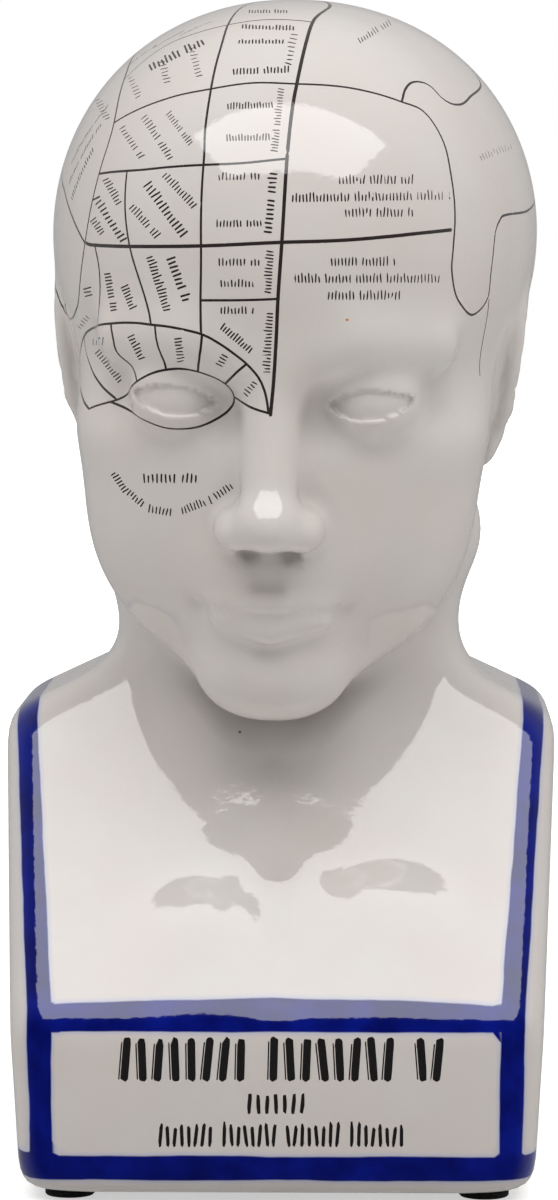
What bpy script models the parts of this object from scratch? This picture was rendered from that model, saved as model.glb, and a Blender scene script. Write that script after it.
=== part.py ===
"""A phrenology head: a bald bust on a squared block, cast in one piece of glazed ceramic,
standing on four small rubber pads. Sizes are in millimetres and the scene is in metres.
The front faces -Y, the viewer's right is +X and Z is up."""

from collections import namedtuple

import bmesh
import bpy
import numpy as np

MM = 0.001

# The sizes below are measured from the middle of the block. The origin is under the middle of the
# whole bust, whose nose and back reach past the block, so every piece stands this far behind it.
BEHIND_ORIGIN = 6.84

# A lobe is an oval lump: its centre, its three half sizes, and how softly it joins what is there.
# A bar is a round rod through its points, with a radius at each. A ridge follows the ear's oval at
# a share of its size, where its two keep values leave it.
Lobe = namedtuple("Lobe", "centre half blend")
Bar = namedtuple("Bar", "points radii blend")
Ridge = namedtuple("Ridge", "share out radius keep_lean keep_above blend")

# The grid the cast is worked out on, and how many triangles it keeps
FINE_STEP = 1.5
COARSE_STEP = 2.4
EYE_STEP = 0.9
FINE_TO_DEPTH = 26.0
FINE_LEVELS = (112.0, 232.0)
EYE_SPAN = (9.0, 38.0)
EYE_DEPTH = (-72.0, -52.0)
EYE_LEVELS = (178.0, 202.0)
GRID_LOW = (-76.0, -104.0, -4.0)
GRID_HIGH = (76.0, 88.0, 300.0)
SAMPLE_STRIDE = 8
SAMPLE_REACH = 12.0
RELAX_ROUNDS = 3
BUST_TRIANGLES = 9100

# Block: a squared chest that flares a little towards the shoulders
UNDERSIDE = 2.0
BLOCK_FRONT = -62.0
BLOCK_BACK = 62.0
BLOCK_FOOT_HALF = 62.2
SIDE_FLARE = 0.060
BACK_LEAN = 0.02
LEDGE_LEVEL = 43.2
CHEST_SLOPE = 0.70
SHOULDER_AT = (66.5, 114.8)
SHOULDER_SLOPE = 0.49
SHOULDER_RIDGE = 18.0
EDGE_ROUND = 10.0
FRONT_EDGE_ROUND = 20.0
FOOT_ROUND = 10.0
LEDGE_ROUND = 4.0

# The low swell of each side of the chest, as uneven as a hand left them, and the furrow between them
LEFT_BREAST = Lobe((-17, -39.6, 41), (21, 14, 30), 14)
RIGHT_BREAST = Lobe((24, -37.2, 44.5), (27, 14, 30), 14)
BREAST_FURROW = Bar(((0, -43.6, 76), (0, -59.4, 54)), (2.6, 1.8), 11)

# Neck: height, then the centre and half sizes of the oval at each level
NECK_LEVELS = (60.0, 88.0, 122.0, 170.0)
NECK_CENTRE_X = (0.0, 0.0, 1.9, 2.4)
NECK_CENTRE_Y = (8.0, 12.0, 17.0, 13.0)
NECK_HALF_X = (62.0, 55.0, 43.5, 36.5)
NECK_HALF_Y = (46.0, 43.5, 41.0, 37.0)
NECK_FOOT = 30.0
NECK_FOOT_ROUND = 10.0
NAPE_CUT_AT = (0.0, 40.0, 160.0)
NAPE_CUT_FACING = (0.0, 0.45, 1.0)
NAPE_CUT_ROUND = 24.0
NAPE = Lobe((0, 32, 122), (30, 27, 40), 20)
NECK_MUSCLE = Bar(((31, 13, 152), (10, -25, 88)), (6.5, 5), 18)
NECK_FILLET = 14.0

# The head meets the neck in a crease under the jaw, which opens to a wide fillet at the nape
JAW_CREASE = 5.0
NAPE_FILLET = 30.0
JAW_TO_NAPE = (-36.0, 16.0)

# Head: where it stands, how it is turned, and its breadth, depth and height against the sizes below
HEAD_AT = (2.4, 5.0, 128.6)
HEAD_PIVOT = (0.0, 12.0, 40.0)
HEAD_PITCH = 12.5
HEAD_YAW = -2.5
HEAD_LEAN = 1.4
HEAD_SIZE = (0.998, 0.98, 0.935)

# Sizes of the head in its own frame: chin at height 0, crown at 174, front at -y
SKULL_BACK = Lobe((0, 17, 110), (56, 59, 61.5), 0)
SKULL_SIDE = Lobe((15, 20, 112), (43, 54, 52), 18)
SKULL_SIDE_SOFT = 6.0
SKULL_BASE = Lobe((0, 24, 68), (43, 40, 32), 20)
FOREHEAD = Lobe((0, -17, 115), (51.5, 55, 58.5), 28)
FACE_MASS = Lobe((0, -22, 63), (46, 48, 58), 12)
SIDE_MASS = Lobe((0, -3, 76), (50, 50, 42), 16)
MUZZLE = Lobe((0, -45, 40), (24, 27, 26), 16)
CHEEKBONE = Lobe((33, -34, 72), (13, 21, 10), 22)
CHEEK = Lobe((25, -34, 48), (20, 25, 29), 18)
JAW = Bar(((35, 1, 35), (8, -54, 12.5)), (10.5, 9), 20)
CHIN = Lobe((0, -58, 13), (14, 13, 12), 14)

SOCKET = Lobe((22, -76, 88), (17, 13.5, 10.5), 12)
INNER_CORNER = Lobe((11, -74, 87), (5.5, 9, 8), 9)
BROW = Bar(((6, -62.5, 96.5), (20, -63.5, 102.5), (36, -52, 99)), (5.5, 5.5, 5), 16)
EYE_AT = (22.5, -57.0, 86.0)
EYE_RADIUS = 10.2
EYE_BLEND = 1.2
EYE_HALF_LENGTH = 11.4
EYE_RISE = 4.2
EYE_DROP = 3.4
EYE_SLANT = 0.05
EYE_CORNER_ROUND = 2.0
LID_THICKNESS = 1.25
LID_EDGE_ROUND = 1.8
LID_BLEND = 6.5

NOSE_BRIDGE = Bar(((0, -62.5, 98), (0, -77, 61)), (5, 6), 12)
NOSE_TIP = Lobe((0, -79, 58), (7, 7.8, 6.4), 8)
NOSE_WING = Lobe((7.6, -72, 55.2), (5.4, 8.4, 5.4), 6.5)
NOSTRIL = Lobe((4.8, -74.5, 49.2), (2.4, 4.2, 2.2), 3)
NOSTRIL_TURN = -18.0
LIP_GROOVE = Bar(((0, -77.2, 47), (0, -77, 40)), (2.2, 3), 4)
UPPER_LIP = Bar(((3, -71, 36), (14.5, -64.9, 33.4)), (3.8, 2.2), 5)
LOWER_LIP = Bar(((0, -70, 28.8), (11.5, -66.2, 30.4)), (4.6, 2.8), 5)
LIP_LINE = Bar(((0, -75.5, 32.3), (8.5, -73.6, 32.8), (17.5, -66.2, 31.8)), (1.25, 1.1, 0.9), 2.6)
MOUTH_CORNER = Lobe((18.5, -67.6, 31.6), (2.4, 4, 2.6), 6)

# Ear, in a frame of its own: x outwards, y to the back, z up
EAR_AT = (50.0, 4.0, 76.5)
EAR_TURNS = (9.0, 6.0, 11.0)
EAR_PLATE = Lobe((-0.5, 1, 2), (4, 12.5, 22), 4.5)
EAR_OVAL_CENTRE = (1.0, 3.5)
EAR_OVAL_HALF = (11.8, 19.5)
EAR_OVAL_SIZE = 14.5
EAR_RIM = Ridge(1.0, 1.6, 2.8, 0.9, -20.4, 3.5)
EAR_FOLD = Ridge(0.55, 1.3, 1.9, 1.2, 5.3, 3.0)
EAR_RIDGE_END_ROUND = 4.0
EAR_BOWL = Lobe((5.2, -1.5, -3), (6.4, 6.4, 8.8), 3.5)
EAR_TROUGH = Lobe((5, 2, 11.5), (4.4, 6.2, 8.4), 3.5)
EAR_FLAP = Lobe((1, -9, -4.5), (3.4, 3.4, 4.8), 3.5)
EAR_LOBE = Lobe((0.2, -3, -16.5), (3.8, 6.6, 7), 5)

# Pads under the corners
PAD_RADIUS = 6.0
PAD_HEIGHT = 1.7
PAD_BEVEL = 0.4
PAD_SIDES = 24
PAD_X = 50.0
PAD_Y = 48.0

GLAZE_COLOUR = (0.72, 0.70, 0.67, 1.0)
GLAZE_ROUGHNESS = 0.12
RUBBER_COLOUR = (0.02, 0.02, 0.02, 1.0)
RUBBER_ROUGHNESS = 0.8


# Distances: each function gives how far the points are outside a form, below zero inside it
def smooth_union(a, b, blend):
    near = np.maximum(blend - np.abs(a - b), 0.0) / blend
    return np.minimum(a, b) - near**3 * blend / 6.0


def smooth_cut(a, b, blend):
    return -smooth_union(-a, b, blend)


def smooth_both(a, b, blend):
    return -smooth_union(-a, -b, blend)


def lobe(p, form):
    half = np.array(form.half, float)
    q = p - np.array(form.centre, float)
    inner = np.linalg.norm(q / half, axis=-1)
    outer = np.linalg.norm(q / half**2, axis=-1)
    return inner * (inner - 1.0) / np.maximum(outer, 1e-6)


def bar(p, form):
    nearest = np.inf
    for i in range(len(form.points) - 1):
        start = np.array(form.points[i], float)
        along = np.array(form.points[i + 1], float) - start
        t = np.clip((p - start) @ along / (along @ along), 0.0, 1.0)
        radius = form.radii[i] + t * (form.radii[i + 1] - form.radii[i])
        nearest = np.minimum(nearest, np.linalg.norm(p - start - t[..., None] * along, axis=-1) - radius)
    return nearest


def distance(p, form):
    return bar(p, form) if isinstance(form, Bar) else lobe(p, form)


def add(f, p, form):
    return smooth_union(f, distance(p, form), form.blend)


def cut(f, p, form):
    return smooth_cut(f, distance(p, form), form.blend)


def plane(p, point, normal):
    n = np.array(normal, float)
    return (p - np.array(point, float)) @ (n / np.linalg.norm(n))


def turn(axis, degrees):
    c, s = np.cos(np.radians(degrees)), np.sin(np.radians(degrees))
    a, b = [(1, 2), (2, 0), (0, 1)][axis]
    m = np.eye(3)
    m[a, a] = m[b, b] = c
    m[a, b], m[b, a] = -s, s
    return m


def both_sides(p, soft=1.5):
    """The points with their left half folded onto the right, so that one form serves both."""
    q = p.copy()
    q[..., 0] = np.sqrt(q[..., 0] ** 2 + soft**2)
    return q


# Head
def to_head(p):
    q = p - np.array(HEAD_AT) - np.array(HEAD_PIVOT)
    q = q @ turn(2, HEAD_YAW) @ turn(1, HEAD_LEAN) @ turn(0, HEAD_PITCH)
    return (q + np.array(HEAD_PIVOT)) / np.array(HEAD_SIZE)


def skull(q):
    f = add(lobe(q, SKULL_BACK), both_sides(q, SKULL_SIDE_SOFT), SKULL_SIDE)
    f = add(f, q, SKULL_BASE)
    return add(f, q, FOREHEAD)


def face(q, m):
    f = add(lobe(q, FACE_MASS), q, SIDE_MASS)
    f = add(f, q, MUZZLE)
    f = add(f, m, CHEEKBONE)
    f = add(f, m, CHEEK)
    f = add(f, m, JAW)
    return add(f, q, CHIN)


def eye_opening(m):
    """The almond between the lids: where two discs overlap, seen from the front."""
    x = m[..., 0] - EYE_AT[0]
    z = m[..., 2] - EYE_AT[2] - EYE_SLANT * x
    top = (EYE_HALF_LENGTH**2 + EYE_RISE**2) / (2 * EYE_RISE)
    low = (EYE_HALF_LENGTH**2 + EYE_DROP**2) / (2 * EYE_DROP)
    above = np.hypot(x, z - (EYE_RISE - top)) - top
    below = np.hypot(x, z + (EYE_DROP - low)) - low
    return smooth_both(above, below, EYE_CORNER_ROUND)


def eyes(f, m):
    f = cut(f, m, SOCKET)
    f = cut(f, m, INNER_CORNER)
    f = add(f, m, BROW)
    ball = np.linalg.norm(m - np.array(EYE_AT), axis=-1) - EYE_RADIUS
    lids = smooth_cut(ball - LID_THICKNESS, eye_opening(m), LID_EDGE_ROUND)
    f = smooth_union(f, lids, LID_BLEND)
    return smooth_union(f, ball, EYE_BLEND)


def nose(f, q, m):
    f = add(f, q, NOSE_BRIDGE)
    f = add(f, q, NOSE_TIP)
    f = add(f, m, NOSE_WING)
    about = np.array(NOSTRIL.centre)
    return cut(f, (m - about) @ turn(2, NOSTRIL_TURN) + about, NOSTRIL)


def mouth(f, q, m):
    f = cut(f, q, LIP_GROOVE)
    f = add(f, m, UPPER_LIP)
    f = add(f, m, LOWER_LIP)
    f = cut(f, m, LIP_LINE)
    return cut(f, m, MOUTH_CORNER)


def ear_ridge(g, e, ridge):
    away_y = (e[..., 1] - EAR_OVAL_CENTRE[0]) / EAR_OVAL_HALF[0]
    away_z = (e[..., 2] - EAR_OVAL_CENTRE[1]) / EAR_OVAL_HALF[1]
    from_oval = (np.hypot(away_y, away_z) - ridge.share) * EAR_OVAL_SIZE
    rod = np.hypot(from_oval, e[..., 0] - ridge.out) - ridge.radius
    keep = e[..., 2] + ridge.keep_lean * e[..., 1] - ridge.keep_above
    return smooth_union(g, smooth_both(rod, -keep, EAR_RIDGE_END_ROUND), ridge.blend)


def ears(f, m):
    e = (m - np.array(EAR_AT)) @ turn(1, EAR_TURNS[0]) @ turn(0, EAR_TURNS[1]) @ turn(2, EAR_TURNS[2])
    g = ear_ridge(lobe(e, EAR_PLATE), e, EAR_RIM)
    g = cut(g, e, EAR_BOWL)
    g = cut(g, e, EAR_TROUGH)
    g = ear_ridge(g, e, EAR_FOLD)
    g = add(g, e, EAR_FLAP)
    g = add(g, e, EAR_LOBE)
    return smooth_union(f, g, EAR_PLATE.blend)


def head(p):
    q = to_head(p)
    m = both_sides(q)
    f = smooth_union(skull(q), face(q, m), FACE_MASS.blend)
    f = eyes(f, m)
    f = nose(f, q, m)
    f = mouth(f, q, m)
    return ears(f, m)


# Neck and block
def neck(p, m):
    z = p[..., 2]
    half_x = np.interp(z, NECK_LEVELS, NECK_HALF_X)
    half_y = np.interp(z, NECK_LEVELS, NECK_HALF_Y)
    x = p[..., 0] - np.interp(z, NECK_LEVELS, NECK_CENTRE_X)
    y = p[..., 1] - np.interp(z, NECK_LEVELS, NECK_CENTRE_Y)
    inner = np.hypot(x / half_x, y / half_y)
    outer = np.hypot(x / half_x**2, y / half_y**2)
    column = inner * (inner - 1) / np.maximum(outer, 1e-6)
    column = smooth_both(column, plane(p, NAPE_CUT_AT, NAPE_CUT_FACING), NAPE_CUT_ROUND)
    column = smooth_both(column, plane(p, (0, 0, NECK_FOOT), (0, 0, -1)), NECK_FOOT_ROUND)
    column = add(column, p, NAPE)
    return add(column, m, NECK_MUSCLE)


def block(p, m):
    front = plane(p, (0, BLOCK_FRONT, 0), (0, -1, 0))
    chest = plane(p, (0, BLOCK_FRONT, LEDGE_LEVEL), (0, -1, CHEST_SLOPE))
    ridged = both_sides(p, SHOULDER_RIDGE)
    shoulder = plane(ridged, (SHOULDER_AT[0], 0, SHOULDER_AT[1]), (SHOULDER_SLOPE, 0, 1))
    back = plane(p, (0, BLOCK_BACK, 0), (0, 1, BACK_LEAN))
    side = plane(m, (BLOCK_FOOT_HALF, 0, UNDERSIDE), (1, 0, -SIDE_FLARE))
    under = plane(p, (0, 0, UNDERSIDE), (0, 0, -1))
    f = smooth_both(front, chest, LEDGE_ROUND)
    f = smooth_both(f, side, FRONT_EDGE_ROUND)
    f = smooth_both(f, shoulder, EDGE_ROUND)
    f = smooth_both(f, back, EDGE_ROUND)
    return smooth_both(f, under, FOOT_ROUND)


def bust(p):
    m = both_sides(p)
    f = add(block(p, m), p, LEFT_BREAST)
    f = add(f, p, RIGHT_BREAST)
    f = smooth_union(f, neck(p, m), NECK_FILLET)
    f = cut(f, p, BREAST_FURROW)
    nape = np.clip((p[..., 1] - JAW_TO_NAPE[0]) / (JAW_TO_NAPE[1] - JAW_TO_NAPE[0]), 0.0, 1.0)
    nape = nape * nape * (3 - 2 * nape)
    return smooth_union(head(p), f, JAW_CREASE + (NAPE_FILLET - JAW_CREASE) * nape)


# Surface of the field
def spaced(low, high, step_at):
    marks = [low]
    while marks[-1] < high:
        marks.append(marks[-1] + step_at(marks[-1]))
    return np.array(marks)


def grid_marks(eye, fine, coarse):
    """Grid marks along x, y and z, closer together where the face is and closest at the eyes."""

    def pick(at, eye_span, fine_span):
        if eye_span[0] < at < eye_span[1]:
            return eye
        return fine if fine_span[0] < at < fine_span[1] else coarse

    everywhere = (-1e3, 1e3)
    wide = spaced(0.0, GRID_HIGH[0], lambda x: pick(x, EYE_SPAN, everywhere))
    deep = spaced(GRID_LOW[1], GRID_HIGH[1], lambda y: pick(y, EYE_DEPTH, (-1e3, FINE_TO_DEPTH)))
    tall = spaced(GRID_LOW[2], GRID_HIGH[2], lambda z: pick(z, EYE_LEVELS, FINE_LEVELS))
    return np.concatenate([-wide[:0:-1], wide]), deep, tall


def in_parts(field, points, size=120000):
    return np.concatenate([field(points[i : i + size]) for i in range(0, len(points), size)])


def sample(field, marks, stride=SAMPLE_STRIDE, reach=SAMPLE_REACH):
    """The field at every grid point near the surface, and only its sign elsewhere."""
    stops = [np.append(np.arange(0, len(a) - 1, stride), len(a) - 1) for a in marks]
    rough = np.stack(np.meshgrid(*[a[s] for a, s in zip(marks, stops)], indexing="ij"), -1)
    rough = in_parts(field, rough.reshape(-1, 3)).reshape(rough.shape[:3])
    values = np.empty([len(a) for a in marks], np.float32)
    near = np.zeros(values.shape, bool)
    for cell in np.ndindex(*[len(s) - 1 for s in stops]):
        corners = rough[tuple(slice(c, c + 2) for c in cell)]
        here = tuple(slice(s[c], s[c + 1] + 1) for c, s in zip(cell, stops))
        if corners.min() > reach or corners.max() < -reach:
            values[here] = corners.flat[0]
        else:
            near[here] = True
    at = np.argwhere(near)
    points = np.stack([marks[a][at[:, a]] for a in range(3)], -1)
    values[near] = in_parts(field, points)
    return values


def part_touching(values):
    """Flips the faintest grid points where two bits of surface would meet at an edge or at a corner."""
    shape = values.shape
    for _ in range(12):
        found = []
        inside = values < 0
        for axis in range(3):
            b, c = (axis + 1) % 3, (axis + 2) % 3
            one_b, one_c = np.eye(3, dtype=int)[[b, c]]
            steps = [one_b * i + one_c * j for i, j in ((0, 0), (1, 0), (1, 1), (0, 1))]
            spans = [[slice(k[a], shape[a] - int(a != axis) + k[a]) for a in range(3)] for k in steps]
            side = [inside[tuple(span)] for span in spans]
            at = np.argwhere((side[0] == side[2]) & (side[1] == side[3]) & (side[0] != side[1]))
            found += [[tuple(p + k) for k in steps] for p in at]
        cube = [np.array(k) for k in np.ndindex(2, 2, 2)]
        spans = [[slice(k[a], shape[a] - 1 + k[a]) for a in range(3)] for k in cube]
        side = [inside[tuple(span)] for span in spans]
        count = sum(part.astype(np.int8) for part in side)
        for i in range(4):
            pair = (side[i] == side[7 - i]) & (count == np.where(side[i], 2, 6))
            found += [[tuple(p + cube[i]), tuple(p + cube[7 - i])] for p in np.argwhere(pair)]
        if not found:
            break
        for corners in found:
            faintest = min(corners, key=lambda k: abs(values[k]))
            values[faintest] = -np.sign(values[faintest]) * 1e-3
    return values


def surface_nets(values, marks):
    """One point in each grid cell that the surface crosses, and one quad for each grid edge it crosses."""
    inside = values < 0
    corners = list(np.ndindex(2, 2, 2))
    shape = [n - 1 for n in values.shape]
    spans = [[slice(c[a], c[a] + shape[a]) for a in range(3)] for c in corners]
    count = sum(inside[tuple(span)].astype(np.int8) for span in spans)
    crossed = (count > 0) & (count < 8)
    index = np.full(shape, -1)
    at = np.argwhere(crossed)
    index[crossed] = np.arange(len(at))
    level = {c: values[tuple((at + c).T)].astype(float) for c in corners}
    place = {c: np.stack([marks[a][at[:, a] + c[a]] for a in range(3)], -1) for c in corners}
    total = np.zeros((len(at), 3))
    hits = np.zeros(len(at))
    for axis in range(3):
        for c in corners:
            if c[axis]:
                continue
            d = tuple(v + (a == axis) for a, v in enumerate(c))
            cross = (level[c] < 0) != (level[d] < 0)
            t = level[c][cross] / (level[c][cross] - level[d][cross])
            total[cross] += place[c][cross] + t[:, None] * (place[d][cross] - place[c][cross])
            hits[cross] += 1
    quads = []
    for axis in range(3):
        b, c = (axis + 1) % 3, (axis + 2) % 3
        low = tuple(slice(0, -1) if a == axis else slice(1, -1) for a in range(3))
        high = tuple(slice(1, None) if a == axis else slice(1, -1) for a in range(3))
        edge = np.argwhere(inside[low] != inside[high]) + [int(a != axis) for a in range(3)]
        ring = []
        for step_b, step_c in ((1, 1), (0, 1), (0, 0), (1, 0)):
            cell = edge.copy()
            cell[:, b] -= step_b
            cell[:, c] -= step_c
            ring.append(index[tuple(cell.T)])
        ring = np.stack(ring, -1)
        starts_inside = inside[tuple(edge.T)]
        ring[~starts_inside] = ring[~starts_inside][:, ::-1]
        quads.append(ring)
    return total / hits[:, None], np.concatenate(quads)


def slope(field, points, level, step=0.05):
    parts = [in_parts(field, points + step * np.eye(3)[a]) - level for a in range(3)]
    return np.stack(parts, -1) / step


def settle(field, points, reach=1.0):
    """The points moved along the slope onto the surface."""
    level = in_parts(field, points)
    way = slope(field, points, level)
    move = way * (level / np.maximum((way * way).sum(-1), 1e-6))[:, None]
    length = np.linalg.norm(move, axis=-1, keepdims=True)
    return points - move * np.minimum(1.0, reach / np.maximum(length, 1e-9))


def even_out(field, points, quads, rounds):
    """The points spread evenly over the surface, which they stay on."""
    ends = np.stack([quads.ravel(), np.roll(quads, -1, axis=1).ravel()], -1)
    ends = np.unique(np.sort(ends, axis=1), axis=0)
    count = np.bincount(ends.ravel(), minlength=len(points))[:, None]
    for _ in range(rounds):
        goal = np.zeros_like(points)
        for a in range(3):
            goal[:, a] = np.bincount(ends[:, 0], points[ends[:, 1], a], len(points))
            goal[:, a] += np.bincount(ends[:, 1], points[ends[:, 0], a], len(points))
        points = settle(field, points + 0.5 * (goal / count - points))
    return points


def flat_below(points, level, within=0.06):
    points[np.abs(points[:, 2] - level) < within, 2] = level
    return points


# Objects
def material(name, colour, roughness):
    made = bpy.data.materials.new(name)
    made.use_nodes = True
    shader = made.node_tree.nodes["Principled BSDF"]
    shader.inputs["Base Color"].default_value = colour
    shader.inputs["Roughness"].default_value = roughness
    made.diffuse_color = colour
    return made


def make_bust(look):
    marks = grid_marks(EYE_STEP, FINE_STEP, COARSE_STEP)
    points, quads = surface_nets(part_touching(sample(bust, marks)), marks)
    points = flat_below(even_out(bust, points, quads, RELAX_ROUNDS), UNDERSIDE)
    mesh = bpy.data.meshes.new("phrenology_bust")
    mesh.from_pydata((points * MM).tolist(), [], quads.tolist())
    mesh.materials.append(look)
    made = bpy.data.objects.new("phrenology_bust", mesh)
    made.location.y = BEHIND_ORIGIN * MM
    bpy.context.scene.collection.objects.link(made)
    fewer = made.modifiers.new("fewer_triangles", "DECIMATE")
    fewer.ratio = BUST_TRIANGLES / (2 * len(quads))
    fewer.use_collapse_triangulate = True


def make_pad(name, x, y, look):
    form = bmesh.new()
    bmesh.ops.create_cone(form, cap_ends=True, segments=PAD_SIDES, radius1=PAD_RADIUS * MM,
                          radius2=PAD_RADIUS * MM, depth=PAD_HEIGHT * MM)
    mesh = bpy.data.meshes.new(name)
    form.to_mesh(mesh)
    form.free()
    mesh.materials.append(look)
    made = bpy.data.objects.new(name, mesh)
    made.location = (x * MM, (y + BEHIND_ORIGIN) * MM, PAD_HEIGHT / 2 * MM)
    bpy.context.scene.collection.objects.link(made)
    rim = made.modifiers.new("rounded_rim", "BEVEL")
    rim.width = PAD_BEVEL * MM
    rim.limit_method = "ANGLE"


def main():
    for old in list(bpy.data.objects):
        bpy.data.objects.remove(old)
    make_bust(material("glazed_ceramic", GLAZE_COLOUR, GLAZE_ROUGHNESS))
    for end, y in (("front", -PAD_Y), ("rear", PAD_Y)):
        for side, x in (("left", -PAD_X), ("right", PAD_X)):
            look = material("rubber_%s_%s" % (end, side), RUBBER_COLOUR, RUBBER_ROUGHNESS)
            make_pad("foot_pad_%s_%s" % (end, side), x, y, look)


main()
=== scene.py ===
"""The looks of a phrenology head: a bald bust on a squared block, cast in one piece of white
earthenware. A map is printed on the skull and cobalt bands are painted round the block, under one
clear glaze. Lengths are in millimetres, measured from the middle of the block at table height,
until an object is made. The front faces -Y, the viewer's right is +X and Z is up."""

from collections import namedtuple

import bpy
import numpy as np
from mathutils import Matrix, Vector
from mathutils.bvhtree import BVHTree


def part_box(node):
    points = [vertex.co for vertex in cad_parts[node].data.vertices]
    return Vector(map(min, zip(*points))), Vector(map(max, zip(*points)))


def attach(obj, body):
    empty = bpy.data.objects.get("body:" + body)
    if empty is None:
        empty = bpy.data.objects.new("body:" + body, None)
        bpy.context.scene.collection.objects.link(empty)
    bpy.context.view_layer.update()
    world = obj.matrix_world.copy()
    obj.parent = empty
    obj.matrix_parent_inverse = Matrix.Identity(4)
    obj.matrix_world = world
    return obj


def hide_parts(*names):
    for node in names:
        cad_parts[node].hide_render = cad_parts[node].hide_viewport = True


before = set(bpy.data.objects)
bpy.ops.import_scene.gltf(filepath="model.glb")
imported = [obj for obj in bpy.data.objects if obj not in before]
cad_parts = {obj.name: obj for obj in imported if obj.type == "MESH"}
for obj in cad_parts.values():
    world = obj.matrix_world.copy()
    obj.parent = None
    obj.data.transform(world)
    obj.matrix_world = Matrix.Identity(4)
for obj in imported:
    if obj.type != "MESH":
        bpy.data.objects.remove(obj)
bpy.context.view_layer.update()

MM = 0.001

# The grid the cast is worked out on
FINE_STEP = 2.0
COARSE_STEP = 3.0
EYE_STEP = 1.15
FINE_TO_DEPTH = 26.0
FINE_LEVELS = (118.0, 232.0)
EYE_SPAN = (9.0, 38.0)
EYE_DEPTH = (-72.0, -52.0)
EYE_LEVELS = (178.0, 202.0)
GRID_LOW = (-76.0, -104.0, -4.0)
GRID_HIGH = (76.0, 88.0, 300.0)
SAMPLE_STRIDE = 8
SAMPLE_REACH = 12.0
RELAX_ROUNDS = 3

# The sizes below are measured from the middle of the block. The origin is under the middle of the
# whole bust, whose nose and back reach past the block, so every piece stands this far behind it.
BEHIND_ORIGIN = 6.84

# A lobe is an oval lump: its centre, its three half sizes, and how softly it joins what is there.
# A bar is a round rod through its points, with a radius at each. A ridge follows the ear's oval at
# a share of its size, where its two keep values leave it.
Lobe = namedtuple("Lobe", "centre half blend")
Bar = namedtuple("Bar", "points radii blend")
Ridge = namedtuple("Ridge", "share out radius keep_lean keep_above blend")

# Block: a squared chest that flares a little towards the shoulders
UNDERSIDE = 2.0
BLOCK_FRONT = -62.0
BLOCK_BACK = 62.0
BLOCK_FOOT_HALF = 62.2
SIDE_FLARE = 0.060
BACK_LEAN = 0.02
LEDGE_LEVEL = 43.2
CHEST_SLOPE = 0.70
SHOULDER_AT = (66.5, 114.8)
SHOULDER_SLOPE = 0.49
SHOULDER_RIDGE = 18.0
EDGE_ROUND = 10.0
FRONT_EDGE_ROUND = 20.0
FOOT_ROUND = 10.0
LEDGE_ROUND = 4.0

# The low swell of each side of the chest, as uneven as a hand left them, and the furrow between them
LEFT_BREAST = Lobe((-17, -39.6, 41), (21, 14, 30), 14)
RIGHT_BREAST = Lobe((24, -37.2, 44.5), (27, 14, 30), 14)
BREAST_FURROW = Bar(((0, -43.6, 76), (0, -59.4, 54)), (2.6, 1.8), 11)

# Neck: height, then the centre and half sizes of the oval at each level
NECK_LEVELS = (60.0, 88.0, 122.0, 170.0)
NECK_CENTRE_X = (0.0, 0.0, 1.9, 2.4)
NECK_CENTRE_Y = (8.0, 12.0, 17.0, 13.0)
NECK_HALF_X = (62.0, 55.0, 43.5, 36.5)
NECK_HALF_Y = (46.0, 43.5, 41.0, 37.0)
NECK_FOOT = 30.0
NECK_FOOT_ROUND = 10.0
NAPE_CUT_AT = (0.0, 40.0, 160.0)
NAPE_CUT_FACING = (0.0, 0.45, 1.0)
NAPE_CUT_ROUND = 24.0
NAPE = Lobe((0, 32, 122), (30, 27, 40), 20)
NECK_MUSCLE = Bar(((31, 13, 152), (10, -25, 88)), (6.5, 5), 18)
NECK_FILLET = 14.0

# The head meets the neck in a crease under the jaw, which opens to a wide fillet at the nape
JAW_CREASE = 5.0
NAPE_FILLET = 30.0
JAW_TO_NAPE = (-36.0, 16.0)

# Head: where it stands, how it is turned, and its breadth, depth and height against the sizes below
HEAD_AT = (2.4, 5.0, 128.6)
HEAD_PIVOT = (0.0, 12.0, 40.0)
HEAD_PITCH = 12.5
HEAD_YAW = -2.5
HEAD_LEAN = 1.4
HEAD_SIZE = (0.998, 0.98, 0.935)

# Sizes of the head in its own frame: chin at height 0, crown at 174, front at -y
SKULL_BACK = Lobe((0, 17, 110), (56, 59, 61.5), 0)
SKULL_SIDE = Lobe((15, 20, 112), (43, 54, 52), 18)
SKULL_SIDE_SOFT = 6.0
SKULL_BASE = Lobe((0, 24, 68), (43, 40, 32), 20)
FOREHEAD = Lobe((0, -17, 115), (51.5, 55, 58.5), 28)
FACE_MASS = Lobe((0, -22, 63), (46, 48, 58), 12)
SIDE_MASS = Lobe((0, -3, 76), (50, 50, 42), 16)
MUZZLE = Lobe((0, -45, 40), (24, 27, 26), 16)
CHEEKBONE = Lobe((33, -34, 72), (13, 21, 10), 22)
CHEEK = Lobe((25, -34, 48), (20, 25, 29), 18)
JAW = Bar(((35, 1, 35), (8, -54, 12.5)), (10.5, 9), 20)
CHIN = Lobe((0, -58, 13), (14, 13, 12), 14)

SOCKET = Lobe((22, -76, 88), (17, 13.5, 10.5), 12)
INNER_CORNER = Lobe((11, -74, 87), (5.5, 9, 8), 9)
BROW = Bar(((6, -62.5, 96.5), (20, -63.5, 102.5), (36, -52, 99)), (5.5, 5.5, 5), 16)
EYE_AT = (22.5, -57.0, 86.0)
EYE_RADIUS = 10.2
EYE_BLEND = 1.2
EYE_HALF_LENGTH = 11.4
EYE_RISE = 4.2
EYE_DROP = 3.4
EYE_SLANT = 0.05
EYE_CORNER_ROUND = 2.0
LID_THICKNESS = 1.25
LID_EDGE_ROUND = 1.8
LID_BLEND = 6.5

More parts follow.
